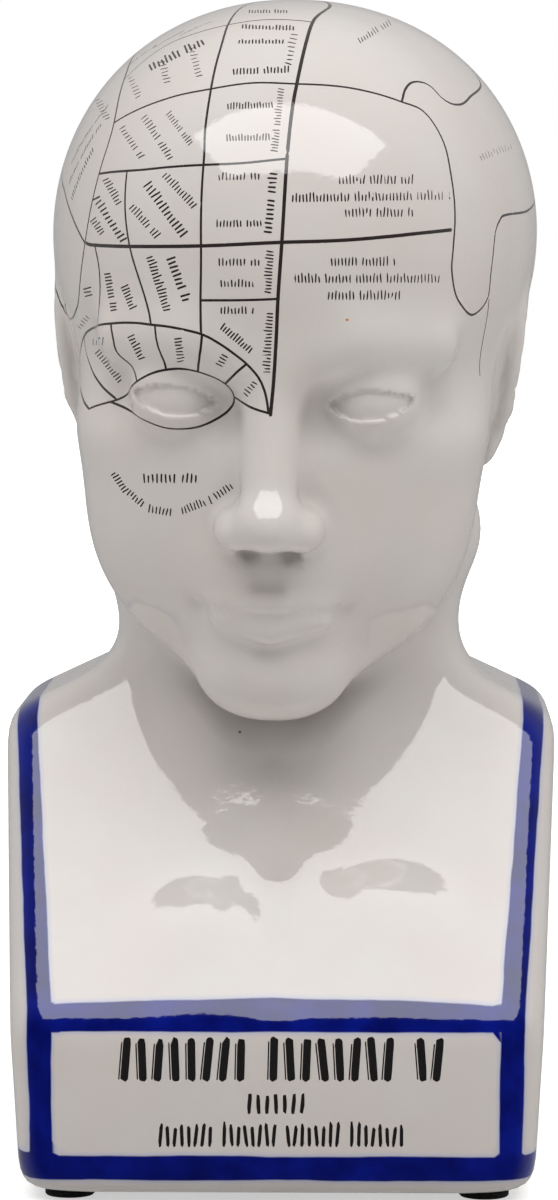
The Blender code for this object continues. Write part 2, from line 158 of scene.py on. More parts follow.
NOSE_BRIDGE = Bar(((0, -62.5, 98), (0, -77, 61)), (5, 6), 12)
NOSE_TIP = Lobe((0, -79, 58), (7, 7.8, 6.4), 8)
NOSE_WING = Lobe((7.6, -72, 55.2), (5.4, 8.4, 5.4), 6.5)
NOSTRIL = Lobe((4.8, -74.5, 49.2), (2.4, 4.2, 2.2), 3)
NOSTRIL_TURN = -18.0
LIP_GROOVE = Bar(((0, -77.2, 47), (0, -77, 40)), (2.2, 3), 4)
UPPER_LIP = Bar(((3, -71, 36), (14.5, -64.9, 33.4)), (3.8, 2.2), 5)
LOWER_LIP = Bar(((0, -70, 28.8), (11.5, -66.2, 30.4)), (4.6, 2.8), 5)
LIP_LINE = Bar(((0, -75.5, 32.3), (8.5, -73.6, 32.8), (17.5, -66.2, 31.8)), (1.25, 1.1, 0.9), 2.6)
MOUTH_CORNER = Lobe((18.5, -67.6, 31.6), (2.4, 4, 2.6), 6)

# Ear, in a frame of its own: x outwards, y to the back, z up
EAR_AT = (50.0, 4.0, 76.5)
EAR_TURNS = (9.0, 6.0, 11.0)
EAR_PLATE = Lobe((-0.5, 1, 2), (4, 12.5, 22), 4.5)
EAR_OVAL_CENTRE = (1.0, 3.5)
EAR_OVAL_HALF = (11.8, 19.5)
EAR_OVAL_SIZE = 14.5
EAR_RIM = Ridge(1.0, 1.6, 2.8, 0.9, -20.4, 3.5)
EAR_FOLD = Ridge(0.55, 1.3, 1.9, 1.2, 5.3, 3.0)
EAR_RIDGE_END_ROUND = 4.0
EAR_BOWL = Lobe((5.2, -1.5, -3), (6.4, 6.4, 8.8), 3.5)
EAR_TROUGH = Lobe((5, 2, 11.5), (4.4, 6.2, 8.4), 3.5)
EAR_FLAP = Lobe((1, -9, -4.5), (3.4, 3.4, 4.8), 3.5)
EAR_LOBE = Lobe((0.2, -3, -16.5), (3.8, 6.6, 7), 5)


# Camera: where the photograph was taken from
PHOTO_WIDTH = 558
PHOTO_HEIGHT = 1200
PIXEL_MM = 0.249
FOCAL_PIXELS = 4812.75
SENSOR_WIDTH = 36.0
CAMERA_AZIMUTH = 1.2
CAMERA_ELEVATION = 4.0
CAMERA_AWAY = 1200.0
CAMERA_ROUND = (0.0, 0.0, 145.0)
CAMERA_AIM = (-0.5, 0.0, 140.5)

# Printed map: line widths
THICK = 0.85
PLAIN = 0.60
FINE = 0.45

# A line of the map: how wide it is, the photo's pixels that it passes where it is seen, and the
# skull's longitudes and latitudes that it passes before and after, where it isn't
Line = namedtuple("Line", "width seen before after", defaults=((), ()))

MAP_LINES = (
    # From the nape over the crown and down the middle of the forehead
    Line(THICK, ((330, 5), (314, 20), (306, 43), (297, 83), (292, 111), (287, 159), (282, 240), (278, 298),
                 (276, 343), (273.5, 383), (270.5, 415)),
         before=((180, -10), (180, 12), (180, 30), (180, 48), (178, 66))),
    # The next one down the forehead, which reaches the back of the viewer's left side
    Line(PLAIN, ((241, 8), (228, 25), (221, 47), (211, 89), (205, 132), (203.5, 165), (201, 246),
                 (200.5, 300),
                 (201, 334)),
         before=((-124, 18), (-128, 32), (-138, 50), (-156, 68))),
    # The edge of the forehead's zones, down to a hook in front of the ear, and on round the ear
    Line(PLAIN, ((132, 59), (124, 80), (114, 123), (99, 174), (85, 243), (79, 296), (75, 313), (71, 319),
                 (66, 313), (63, 307)),
         before=((180, 44), (-155, 45), (-132, 46), (-112, 48)),
         after=((-90, -8), (-103, -9), (-114, -20), (-119, -34))),
    Line(PLAIN, ((124, 80), (144, 61), (169, 44), (197, 33), (228, 25), (262, 20), (290, 20), (311, 22))),
    # Round the forehead and on behind the ear on the viewer's right
    Line(PLAIN, ((114, 123), (149, 105), (180, 95), (211, 89), (253, 83), (297, 84), (350, 88), (399, 101),
                 (424, 112), (443, 141), (451, 175), (455, 212), (453, 250), (452, 273), (458, 300),
                 (472, 315),
                 (487, 300), (491, 272), (495, 235), (500, 220), (506, 215), (527, 211)),
         after=((102, 9), (125, 8), (152, 10), (180, 12))),
    # The wave, which goes on round the back
    Line(PLAIN, ((402, 101), (405, 90), (411, 83), (420, 82), (430, 86), (442, 98), (452, 104), (462, 104),
                 (470, 97), (480, 82)),
         after=((122, 47), (152, 45), (180, 44))),
    Line(PLAIN, ((99, 174), (126, 171), (151, 169), (204, 165), (245, 163), (286, 159))),
    Line(THICK, ((86, 243), (92, 245), (128, 246.5), (201, 246), (281, 242.5), (330, 241), (374, 238),
                 (451, 230))),
    Line(PLAIN, ((200.5, 300.5), (277.5, 299))),
    Line(PLAIN, ((127, 172), (125, 200), (126, 222), (130, 248), (135.5, 268), (144.5, 296), (149.5, 315),
                 (151, 325))),
    Line(PLAIN, ((95, 246), (98.5, 264), (100, 283), (99, 308), (97.5, 325.5))),
    # The edge of the temple, and on round the back
    Line(PLAIN, ((62, 177), (65, 193), (72, 216), (85, 243)),
         before=((180, 12), (-155, 15), (-128, 18), (-104, 19))),
    Line(FINE, ((489, 300), (480, 376))),
    # Only on the hidden sides: the cross lines of the back, and the curve round the far ear
    Line(PLAIN, (), ((-104, 19), (-103, 33), (-106, 48))),
    Line(PLAIN, (), ((-152, 15), (-153, 30), (-152, 45))),
    Line(PLAIN, (), ((-152, 15), (-150, 2), (-160, -7), (180, -10))),
    Line(PLAIN, (), ((106, 9), (107, 27), (110, 45))),
    Line(PLAIN, (), ((128, 8), (130, 28), (130, 47), (140, 64), (160, 74))),
    Line(PLAIN, (), ((153, 10), (154, 28), (152, 45))),
    Line(PLAIN, (), ((153, 10), (150, 0), (160, -7), (180, -10))),
    Line(PLAIN, (), ((90, -8), (103, -9), (114, -20), (119, -34))),
    # The zone round the viewer's left eye: its outer edge, its ring and the lines between
    Line(PLAIN, ((89, 409), (83, 399), (80, 380), (80, 360), (81.5, 345), (85, 335), (90.5, 329.5),
                 (98, 325.6),
                 (111, 323.6), (124, 322.8), (138, 323.2), (151, 324.8), (172, 327.4), (200, 333.8),
                 (219, 343.5),
                 (235, 354.7), (247, 364.5), (258, 377), (264.5, 391), (267.5, 405), (268.5, 413.5))),
    Line(PLAIN, ((89, 409), (110, 402), (135, 383), (160, 371), (190, 370), (219, 380), (234, 396),
                 (228, 411),
                 (204, 425), (174, 429), (146, 421), (127, 409), (111, 402))),
    Line(PLAIN, ((234, 397), (250, 407), (270.5, 414))),
    Line(PLAIN, ((84, 336), (86, 352), (92, 370), (101, 385), (116, 399))),
    Line(PLAIN, ((111, 324), (113, 338), (120, 356), (137, 382))),
    Line(PLAIN, ((155, 325.5), (156, 337), (160, 352), (166, 370))),
    Line(PLAIN, ((202, 335), (200.5, 350), (198, 371))),
    Line(PLAIN, ((246, 364.5), (236, 373), (225, 384))),
)

# A row of strokes in the place of a label: its middle in the photo's pixels, its tilt, length and
# height, how wide its strokes are in millimetres, how far apart they are in their own widths, and
# the shortest one as a share of the tallest
Row = namedtuple("Row", "middle tilt length height stroke pitch shortest", defaults=(2.2, 0.6))
LIGHT = 0.33
BOOK = 0.39
BOLD = 0.50

LABEL_ROWS = (
    Row((268, 11), 0, 40, 4, LIGHT),
    Row((268, 27), -2, 54, 5, BOOK),
    Row((261, 41), 0, 47, 5, BOOK),
    Row((261, 70), 2, 58, 7, BOOK),
    Row((291, 47), 78, 38, 7, BOLD),
    Row((250, 105), 2, 47, 7, LIGHT),
    Row((248, 137), 1, 45, 7, LIGHT),
    Row((277, 120), 84, 65, 7, LIGHT),
    Row((239, 176), 1, 43, 7, BOOK),
    Row((239, 223), 1, 47, 7, BOOK),
    Row((270, 203), 85, 63, 8, BOLD),
    Row((239, 262), 0, 43, 7, BOOK),
    Row((237, 283), 0, 35, 7, BOOK),
    Row((268, 272), 86, 44, 8, BOOK),
    Row((237, 310), 0, 35, 7, BOOK),
    Row((237, 338), -40, 40, 8, BOOK),
    Row((267, 343), 87, 62, 8, BOOK),
    Row((176, 54), 26, 62, 8, BOLD),
    Row((135, 87), -68, 24, 7, BOOK),
    Row((165, 72), -76, 24, 7, BOOK),
    Row((196, 62), -76, 32, 7, BOOK),
    Row((180, 128), -54, 40, 7, LIGHT),
    Row((158, 137), -57, 52, 8, BOOK),
    Row((132, 142), -57, 38, 7, BOOK),
    Row((180, 190), -47, 46, 8, BOOK),
    Row((166, 209), -54, 66, 10, BOLD),
    Row((145, 221), -49, 42, 8, BOOK),
    Row((113, 191), -61, 30, 8, BOOK),
    Row((110, 219), -57, 54, 8, BOLD),
    Row((98, 226), -55, 19, 8, BOOK),
    Row((179, 279), -69, 48, 9, BOLD),
    Row((160, 285), -72, 62, 9, BOOK),
    Row((129, 297), -68, 26, 8, BOOK),
    Row((111, 292), -80, 40, 7, BOOK),
    Row((88, 292), -78, 11, 8, BOOK),
    Row((83, 322), 50, 16, 6, LIGHT),
    Row((103, 109), -64, 24, 8, LIGHT),
    Row((376, 179), 0, 76, 9, BOOK),
    Row((371, 196), 1, 160, 9, BOOK),
    Row((379, 212), 0, 70, 9, BOOK),
    Row((363, 261), 0, 66, 9, BOOK),
    Row((367, 278), 0, 147, 9, BOOK),
    Row((364, 295), 0, 74, 9, BOOK),
    Row((374, 31), 31, 38, 7, LIGHT),
    Row((497, 151), 20, 38, 7, LIGHT),
    # Round the eye
    Row((98, 341), 0, 13, 8, BOOK),
    Row((109, 366), -52, 40, 7, BOOK),
    Row((137, 347), -64, 28, 8, BOOK),
    Row((180, 350), -83, 26, 8, BOOK),
    Row((221, 360), 60, 14, 9, BOOK),
    Row((249, 388), 52, 18, 8, BOOK),
    Row((170, 478), 0, 56, 9, BOLD),
    Row((120, 482), -56, 24, 7, BOOK),
    Row((136, 498), -40, 21, 7, BOOK),
    Row((160, 510), -10, 25, 8, BOOK),
    Row((196, 505), 20, 33, 8, BOOK),
    Row((223, 491), 34, 22, 7, BOOK),
)

# Rows of bigger strokes on the block's front, in the photo's pixels, and the thin shadow of the first
TITLE_ROW = Row((282, 1059), 0, 329, 38, 1.9, 2.15, 0.93)
TITLE_SHADOW_AT = (-5.5, 1.5)
TITLE_SHADOW_STROKE = 0.35
SECOND_ROW = Row((276, 1103), 0, 62, 19, 0.95, 2.3, 0.8)
THIRD_ROW = Row((281, 1134), 0, 248, 23, 0.85, 2.1, 0.7)

# Painted bands on the block. Their inner and outer edges lean with its sides.
BAND_LEVELS = (8.0, 46.0, 112.0)
BAND_INNER = (53.2, 53.6, 60.0)
BAND_OUTER = (58.8, 59.6, 65.3)
BAND_TOP = 126.0
LEDGE_BAND = (41.8, 49.4)
LEDGE_BAND_BOW = 1.6
LEDGE_BAND_TO = -30.0
FOOT_BAND = (6.0, 12.0)


# Distances: each function gives how far the points are outside a form, below zero inside it
def smooth_union(a, b, blend):
    near = np.maximum(blend - np.abs(a - b), 0.0) / blend
    return np.minimum(a, b) - near**3 * blend / 6.0


def smooth_cut(a, b, blend):
    return -smooth_union(-a, b, blend)


def smooth_both(a, b, blend):
    return -smooth_union(-a, -b, blend)


def lobe(p, form):
    half = np.array(form.half, float)
    q = p - np.array(form.centre, float)
    inner = np.linalg.norm(q / half, axis=-1)
    outer = np.linalg.norm(q / half**2, axis=-1)
    return inner * (inner - 1.0) / np.maximum(outer, 1e-6)


def bar(p, form):
    nearest = np.inf
    for i in range(len(form.points) - 1):
        start = np.array(form.points[i], float)
        along = np.array(form.points[i + 1], float) - start
        t = np.clip((p - start) @ along / (along @ along), 0.0, 1.0)
        radius = form.radii[i] + t * (form.radii[i + 1] - form.radii[i])
        nearest = np.minimum(nearest, np.linalg.norm(p - start - t[..., None] * along, axis=-1) - radius)
    return nearest


def distance(p, form):
    return bar(p, form) if isinstance(form, Bar) else lobe(p, form)


def add(f, p, form):
    return smooth_union(f, distance(p, form), form.blend)


def cut(f, p, form):
    return smooth_cut(f, distance(p, form), form.blend)


def plane(p, point, normal):
    n = np.array(normal, float)
    return (p - np.array(point, float)) @ (n / np.linalg.norm(n))


def turn(axis, degrees):
    c, s = np.cos(np.radians(degrees)), np.sin(np.radians(degrees))
    a, b = [(1, 2), (2, 0), (0, 1)][axis]
    m = np.eye(3)
    m[a, a] = m[b, b] = c
    m[a, b], m[b, a] = -s, s
    return m


def both_sides(p, soft=1.5):
    """The points with their left half folded onto the right, so that one form serves both."""
    q = p.copy()
    q[..., 0] = np.sqrt(q[..., 0] ** 2 + soft**2)
    return q


# Head
def to_head(p):
    q = p - np.array(HEAD_AT) - np.array(HEAD_PIVOT)
    q = q @ turn(2, HEAD_YAW) @ turn(1, HEAD_LEAN) @ turn(0, HEAD_PITCH)
    return (q + np.array(HEAD_PIVOT)) / np.array(HEAD_SIZE)


def skull(q):
    f = add(lobe(q, SKULL_BACK), both_sides(q, SKULL_SIDE_SOFT), SKULL_SIDE)
    f = add(f, q, SKULL_BASE)
    return add(f, q, FOREHEAD)


def face(q, m):
    f = add(lobe(q, FACE_MASS), q, SIDE_MASS)
    f = add(f, q, MUZZLE)
    f = add(f, m, CHEEKBONE)
    f = add(f, m, CHEEK)
    f = add(f, m, JAW)
    return add(f, q, CHIN)


def eye_opening(m):
    """The almond between the lids: where two discs overlap, seen from the front."""
    x = m[..., 0] - EYE_AT[0]
    z = m[..., 2] - EYE_AT[2] - EYE_SLANT * x
    top = (EYE_HALF_LENGTH**2 + EYE_RISE**2) / (2 * EYE_RISE)
    low = (EYE_HALF_LENGTH**2 + EYE_DROP**2) / (2 * EYE_DROP)
    above = np.hypot(x, z - (EYE_RISE - top)) - top
    below = np.hypot(x, z + (EYE_DROP - low)) - low
    return smooth_both(above, below, EYE_CORNER_ROUND)


def eyes(f, m):
    f = cut(f, m, SOCKET)
    f = cut(f, m, INNER_CORNER)
    f = add(f, m, BROW)
    ball = np.linalg.norm(m - np.array(EYE_AT), axis=-1) - EYE_RADIUS
    lids = smooth_cut(ball - LID_THICKNESS, eye_opening(m), LID_EDGE_ROUND)
    f = smooth_union(f, lids, LID_BLEND)
    return smooth_union(f, ball, EYE_BLEND)


def nose(f, q, m):
    f = add(f, q, NOSE_BRIDGE)
    f = add(f, q, NOSE_TIP)
    f = add(f, m, NOSE_WING)
    about = np.array(NOSTRIL.centre)
    return cut(f, (m - about) @ turn(2, NOSTRIL_TURN) + about, NOSTRIL)


def mouth(f, q, m):
    f = cut(f, q, LIP_GROOVE)
    f = add(f, m, UPPER_LIP)
    f = add(f, m, LOWER_LIP)
    f = cut(f, m, LIP_LINE)
    return cut(f, m, MOUTH_CORNER)


def ear_ridge(g, e, ridge):
    away_y = (e[..., 1] - EAR_OVAL_CENTRE[0]) / EAR_OVAL_HALF[0]
    away_z = (e[..., 2] - EAR_OVAL_CENTRE[1]) / EAR_OVAL_HALF[1]
    from_oval = (np.hypot(away_y, away_z) - ridge.share) * EAR_OVAL_SIZE
    rod = np.hypot(from_oval, e[..., 0] - ridge.out) - ridge.radius
    keep = e[..., 2] + ridge.keep_lean * e[..., 1] - ridge.keep_above
    return smooth_union(g, smooth_both(rod, -keep, EAR_RIDGE_END_ROUND), ridge.blend)


def ears(f, m):
    e = (m - np.array(EAR_AT)) @ turn(1, EAR_TURNS[0]) @ turn(0, EAR_TURNS[1]) @ turn(2, EAR_TURNS[2])
    g = ear_ridge(lobe(e, EAR_PLATE), e, EAR_RIM)
    g = cut(g, e, EAR_BOWL)
    g = cut(g, e, EAR_TROUGH)
    g = ear_ridge(g, e, EAR_FOLD)
    g = add(g, e, EAR_FLAP)
    g = add(g, e, EAR_LOBE)
    return smooth_union(f, g, EAR_PLATE.blend)


def head(p):
    q = to_head(p)
    m = both_sides(q)
    f = smooth_union(skull(q), face(q, m), FACE_MASS.blend)
    f = eyes(f, m)
    f = nose(f, q, m)
    f = mouth(f, q, m)
    return ears(f, m)


# Neck and block
def neck(p, m):
    z = p[..., 2]
    half_x = np.interp(z, NECK_LEVELS, NECK_HALF_X)
    half_y = np.interp(z, NECK_LEVELS, NECK_HALF_Y)
    x = p[..., 0] - np.interp(z, NECK_LEVELS, NECK_CENTRE_X)
    y = p[..., 1] - np.interp(z, NECK_LEVELS, NECK_CENTRE_Y)
    inner = np.hypot(x / half_x, y / half_y)
    outer = np.hypot(x / half_x**2, y / half_y**2)
    column = inner * (inner - 1) / np.maximum(outer, 1e-6)
    column = smooth_both(column, plane(p, NAPE_CUT_AT, NAPE_CUT_FACING), NAPE_CUT_ROUND)
    column = smooth_both(column, plane(p, (0, 0, NECK_FOOT), (0, 0, -1)), NECK_FOOT_ROUND)
    column = add(column, p, NAPE)
    return add(column, m, NECK_MUSCLE)


def block(p, m):
    front = plane(p, (0, BLOCK_FRONT, 0), (0, -1, 0))
    chest = plane(p, (0, BLOCK_FRONT, LEDGE_LEVEL), (0, -1, CHEST_SLOPE))
    ridged = both_sides(p, SHOULDER_RIDGE)
    shoulder = plane(ridged, (SHOULDER_AT[0], 0, SHOULDER_AT[1]), (SHOULDER_SLOPE, 0, 1))
    back = plane(p, (0, BLOCK_BACK, 0), (0, 1, BACK_LEAN))
    side = plane(m, (BLOCK_FOOT_HALF, 0, UNDERSIDE), (1, 0, -SIDE_FLARE))
    under = plane(p, (0, 0, UNDERSIDE), (0, 0, -1))
    f = smooth_both(front, chest, LEDGE_ROUND)
    f = smooth_both(f, side, FRONT_EDGE_ROUND)
    f = smooth_both(f, shoulder, EDGE_ROUND)
    f = smooth_both(f, back, EDGE_ROUND)
    return smooth_both(f, under, FOOT_ROUND)


def bust(p):
    m = both_sides(p)
    f = add(block(p, m), p, LEFT_BREAST)
    f = add(f, p, RIGHT_BREAST)
    f = smooth_union(f, neck(p, m), NECK_FILLET)
    f = cut(f, p, BREAST_FURROW)
    nape = np.clip((p[..., 1] - JAW_TO_NAPE[0]) / (JAW_TO_NAPE[1] - JAW_TO_NAPE[0]), 0.0, 1.0)
    nape = nape * nape * (3 - 2 * nape)
    return smooth_union(head(p), f, JAW_CREASE + (NAPE_FILLET - JAW_CREASE) * nape)


# Surface of the field
def spaced(low, high, step_at):
    marks = [low]
    while marks[-1] < high:
        marks.append(marks[-1] + step_at(marks[-1]))
    return np.array(marks)


def grid_marks(eye, fine, coarse):
    """Grid marks along x, y and z, closer together where the face is and closest at the eyes."""

    def pick(at, eye_span, fine_span):
        if eye_span[0] < at < eye_span[1]:
            return eye
        return fine if fine_span[0] < at < fine_span[1] else coarse

    everywhere = (-1e3, 1e3)
    wide = spaced(0.0, GRID_HIGH[0], lambda x: pick(x, EYE_SPAN, everywhere))
    deep = spaced(GRID_LOW[1], GRID_HIGH[1], lambda y: pick(y, EYE_DEPTH, (-1e3, FINE_TO_DEPTH)))
    tall = spaced(GRID_LOW[2], GRID_HIGH[2], lambda z: pick(z, EYE_LEVELS, FINE_LEVELS))
    return np.concatenate([-wide[:0:-1], wide]), deep, tall


def in_parts(field, points, size=120000):
    return np.concatenate([field(points[i : i + size]) for i in range(0, len(points), size)])


def sample(field, marks, stride=SAMPLE_STRIDE, reach=SAMPLE_REACH):
    """The field at every grid point near the surface, and only its sign elsewhere."""
    stops = [np.append(np.arange(0, len(a) - 1, stride), len(a) - 1) for a in marks]
    rough = np.stack(np.meshgrid(*[a[s] for a, s in zip(marks, stops)], indexing="ij"), -1)
    rough = in_parts(field, rough.reshape(-1, 3)).reshape(rough.shape[:3])
    values = np.empty([len(a) for a in marks], np.float32)
    near = np.zeros(values.shape, bool)
    for cell in np.ndindex(*[len(s) - 1 for s in stops]):
        corners = rough[tuple(slice(c, c + 2) for c in cell)]
        here = tuple(slice(s[c], s[c + 1] + 1) for c, s in zip(cell, stops))
        if corners.min() > reach or corners.max() < -reach:
            values[here] = corners.flat[0]
        else:
            near[here] = True
    at = np.argwhere(near)
    points = np.stack([marks[a][at[:, a]] for a in range(3)], -1)
    values[near] = in_parts(field, points)
    return values


def part_touching(values):
    """Flips the faintest grid points where two bits of surface would meet at an edge or at a corner."""
    shape = values.shape
    for _ in range(12):
        found = []
        inside = values < 0
        for axis in range(3):
            b, c = (axis + 1) % 3, (axis + 2) % 3
            one_b, one_c = np.eye(3, dtype=int)[[b, c]]
            steps = [one_b * i + one_c * j for i, j in ((0, 0), (1, 0), (1, 1), (0, 1))]
            spans = [[slice(k[a], shape[a] - int(a != axis) + k[a]) for a in range(3)] for k in steps]
            side = [inside[tuple(span)] for span in spans]
            at = np.argwhere((side[0] == side[2]) & (side[1] == side[3]) & (side[0] != side[1]))
            found += [[tuple(p + k) for k in steps] for p in at]
        cube = [np.array(k) for k in np.ndindex(2, 2, 2)]
        spans = [[slice(k[a], shape[a] - 1 + k[a]) for a in range(3)] for k in cube]
        side = [inside[tuple(span)] for span in spans]
        count = sum(part.astype(np.int8) for part in side)
        for i in range(4):
            pair = (side[i] == side[7 - i]) & (count == np.where(side[i], 2, 6))
            found += [[tuple(p + cube[i]), tuple(p + cube[7 - i])] for p in np.argwhere(pair)]
        if not found:
            break
        for corners in found:
            faintest = min(corners, key=lambda k: abs(values[k]))
            values[faintest] = -np.sign(values[faintest]) * 1e-3
    return values


def surface_nets(values, marks):
    """One point in each grid cell that the surface crosses, and one quad for each grid edge it crosses."""
    inside = values < 0
    corners = list(np.ndindex(2, 2, 2))
    shape = [n - 1 for n in values.shape]
    spans = [[slice(c[a], c[a] + shape[a]) for a in range(3)] for c in corners]
    count = sum(inside[tuple(span)].astype(np.int8) for span in spans)
    crossed = (count > 0) & (count < 8)
    index = np.full(shape, -1)
    at = np.argwhere(crossed)
    index[crossed] = np.arange(len(at))
    level = {c: values[tuple((at + c).T)].astype(float) for c in corners}
    place = {c: np.stack([marks[a][at[:, a] + c[a]] for a in range(3)], -1) for c in corners}
    total = np.zeros((len(at), 3))
    hits = np.zeros(len(at))
    for axis in range(3):
        for c in corners:
            if c[axis]:
                continue
            d = tuple(v + (a == axis) for a, v in enumerate(c))
            cross = (level[c] < 0) != (level[d] < 0)
            t = level[c][cross] / (level[c][cross] - level[d][cross])
            total[cross] += place[c][cross] + t[:, None] * (place[d][cross] - place[c][cross])
            hits[cross] += 1
    quads = []
    for axis in range(3):
        b, c = (axis + 1) % 3, (axis + 2) % 3
        low = tuple(slice(0, -1) if a == axis else slice(1, -1) for a in range(3))
        high = tuple(slice(1, None) if a == axis else slice(1, -1) for a in range(3))
        edge = np.argwhere(inside[low] != inside[high]) + [int(a != axis) for a in range(3)]
        ring = []
        for step_b, step_c in ((1, 1), (0, 1), (0, 0), (1, 0)):
            cell = edge.copy()
            cell[:, b] -= step_b
            cell[:, c] -= step_c
            ring.append(index[tuple(cell.T)])
        ring = np.stack(ring, -1)
        starts_inside = inside[tuple(edge.T)]
        ring[~starts_inside] = ring[~starts_inside][:, ::-1]
        quads.append(ring)
    return total / hits[:, None], np.concatenate(quads)


def slope(field, points, level, step=0.05):
    parts = [in_parts(field, points + step * np.eye(3)[a]) - level for a in range(3)]
    return np.stack(parts, -1) / step


def settle(field, points, reach=1.0):
    """The points moved along the slope onto the surface."""
    level = in_parts(field, points)
    way = slope(field, points, level)
    move = way * (level / np.maximum((way * way).sum(-1), 1e-6))[:, None]
    length = np.linalg.norm(move, axis=-1, keepdims=True)
    return points - move * np.minimum(1.0, reach / np.maximum(length, 1e-9))


def even_out(field, points, quads, rounds):
    """The points spread evenly over the surface, which they stay on."""
    ends = np.stack([quads.ravel(), np.roll(quads, -1, axis=1).ravel()], -1)
    ends = np.unique(np.sort(ends, axis=1), axis=0)
    count = np.bincount(ends.ravel(), minlength=len(points))[:, None]
    for _ in range(rounds):
        goal = np.zeros_like(points)
        for a in range(3):
            goal[:, a] = np.bincount(ends[:, 0], points[ends[:, 1], a], len(points))
            goal[:, a] += np.bincount(ends[:, 1], points[ends[:, 0], a], len(points))
        points = settle(field, points + 0.5 * (goal / count - points))
    return points


def flat_below(points, level, within=0.06):
    points[np.abs(points[:, 2] - level) < within, 2] = level
    return points


# Places on the bust
def from_head(q):
    """The head's own coordinates turned into the block's."""
    p = np.array(q, float) * np.array(HEAD_SIZE) - np.array(HEAD_PIVOT)
    p = p @ (turn(2, HEAD_YAW) @ turn(1, HEAD_LEAN) @ turn(0, HEAD_PITCH)).T
    return p + np.array(HEAD_PIVOT) + np.array(HEAD_AT)


def camera_place():
    """Where the camera stands, and the ways that are forward, right and up for it."""
    a, e = np.radians(CAMERA_AZIMUTH), np.radians(CAMERA_ELEVATION)
    back = np.array([np.sin(a) * np.cos(e), -np.cos(a) * np.cos(e), np.sin(e)])
    eye = np.array(CAMERA_ROUND) + CAMERA_AWAY * back
    forward = np.array(CAMERA_AIM) - eye
    forward /= np.linalg.norm(forward)
    right = np.cross(forward, [0.0, 0.0, 1.0])
    right /= np.linalg.norm(right)
    return eye, forward, right, np.cross(right, forward)


def on_skin(skin, eye, way):
    """Where a look from eye meets the skin, or the skin's nearest point if it passes by."""
    hit = skin.ray_cast(Vector(eye), Vector(way))
    if hit[0] is None:
        nearest = eye + way * ((np.array(HEAD_AT) + np.array(HEAD_PIVOT) - eye) @ way)
        hit = skin.find_nearest(Vector(nearest))
    return np.array(hit[0]), np.array(hit[1])


def by_pixel(skin, pixel):
    eye, forward, right, up = camera_place()
    across = (pixel[0] - PHOTO_WIDTH / 2) / FOCAL_PIXELS
    rise = (PHOTO_HEIGHT / 2 - pixel[1]) / FOCAL_PIXELS
    way = forward + right * across + up * rise
    return on_skin(skin, eye, way / np.linalg.norm(way))[0]


SKULL_MIDDLE = (0.0, 5.0, 112.0)


def by_turn(skin, place):
    """A point of the skull at a longitude, 0 at the front and 90 at the viewer's right, and a latitude."""
    a, e = np.radians(place[0]), np.radians(place[1])
    middle = from_head(SKULL_MIDDLE)
    outwards = np.array([np.sin(a) * np.cos(e), -np.cos(a) * np.cos(e), np.sin(e)])
    way = from_head(np.array(SKULL_MIDDLE) + outwards) - middle
    return on_skin(skin, middle, way / np.linalg.norm(way))[0]


def smooth_through(points, spacing):
    """A smooth curve through the points, with a point of its own about every spacing."""
    points = np.array(points, float)
    if len(points) == 2:
        steps = max(2, int(np.ceil(np.linalg.norm(points[1] - points[0]) / spacing)))
        share = np.linspace(0.0, 1.0, steps + 1)[:, None]
        return points[0] + share * (points[1] - points[0])
    ends = [2 * points[0] - points[1]], [2 * points[-1] - points[-2]]
    knots = np.concatenate([ends[0], points, ends[1]])
    curve = [points[:1]]
    for a, b, c, d in zip(knots, knots[1:], knots[2:], knots[3:]):
        steps = max(1, int(np.ceil(np.linalg.norm(c - b) / spacing)))
        t = np.linspace(0.0, 1.0, steps + 1)[1:, None]
        bend = 2 * b + (c - a) * t + (2 * a - 5 * b + 4 * c - d) * t**2 + (3 * b - a - 3 * c + d) * t**3
        curve.append(bend / 2)
    return np.concatenate(curve)


LINE_SPACING = 1.0


def laid_on(skin, points):
    """A path laid on the skin, with the way that is outwards at each of its points."""
    found = [skin.find_nearest(Vector(p)) for p in points]
    return np.array([f[0] for f in found]), np.array([f[1] for f in found])


# Cutting a print's outline into the skin, so that it stays crisp. A face that reaches further out of
# the outline than a spike may isn't coloured.
LONGEST_EDGE = 6.0
PATCH_MARGIN = 2.2 * LONGEST_EDGE
POKE_CLEAR = 0.04
POKE_REACH = 0.5
ON_EDGE = 0.02
SPIKE = 0.25
BESIDE_SHARE = 1.05
HALVINGS = 7


class Print:
    """Skin as triangles, each with the number of its finish."""

    def __init__(self, points, faces, finish):
        self.points, self.faces, self.finish = points, faces, finish

    def patch(self, paths):
        """The part of the skin round the paths, which faces it took, and which of its points."""
        every = np.concatenate(paths)
        low, high = every.min(axis=0) - PATCH_MARGIN, every.max(axis=0) + PATCH_MARGIN
        chosen = ((self.points > low) & (self.points < high)).all(axis=1)[self.faces].all(axis=1)
        ids, faces = np.unique(self.faces[chosen], return_inverse=True)
        return Print(self.points[ids], faces.reshape(-1, 3), self.finish[chosen]), chosen, ids

    def put_back(self, part, chosen, ids):
        added = part.points[len(ids):]
        numbers = np.concatenate([ids, len(self.points) + np.arange(len(added))])
        self.points = np.concatenate([self.points, added])
        self.faces = np.concatenate([self.faces[~chosen], numbers[part.faces]])
        self.finish = np.concatenate([self.finish[~chosen], part.finish])


def to_path(p, path, outwards):
    """How far the points are from the path, below zero on its one side."""
    start = path[:-1]
    along = path[1:] - start
    length2 = (along * along).sum(-1)
    t = np.clip(((p[:, None] - start) * along).sum(-1) / length2, 0.0, 1.0)
    away = p[:, None] - (start + t[..., None] * along)
    far = np.linalg.norm(away, axis=-1)
    nearest = far.argmin(axis=1)
    rows = np.arange(len(p))
    side = np.cross(along, outwards[:-1])[nearest]
    return far[rows, nearest] * np.where((away[rows, nearest] * side).sum(-1) < 0, -1.0, 1.0)


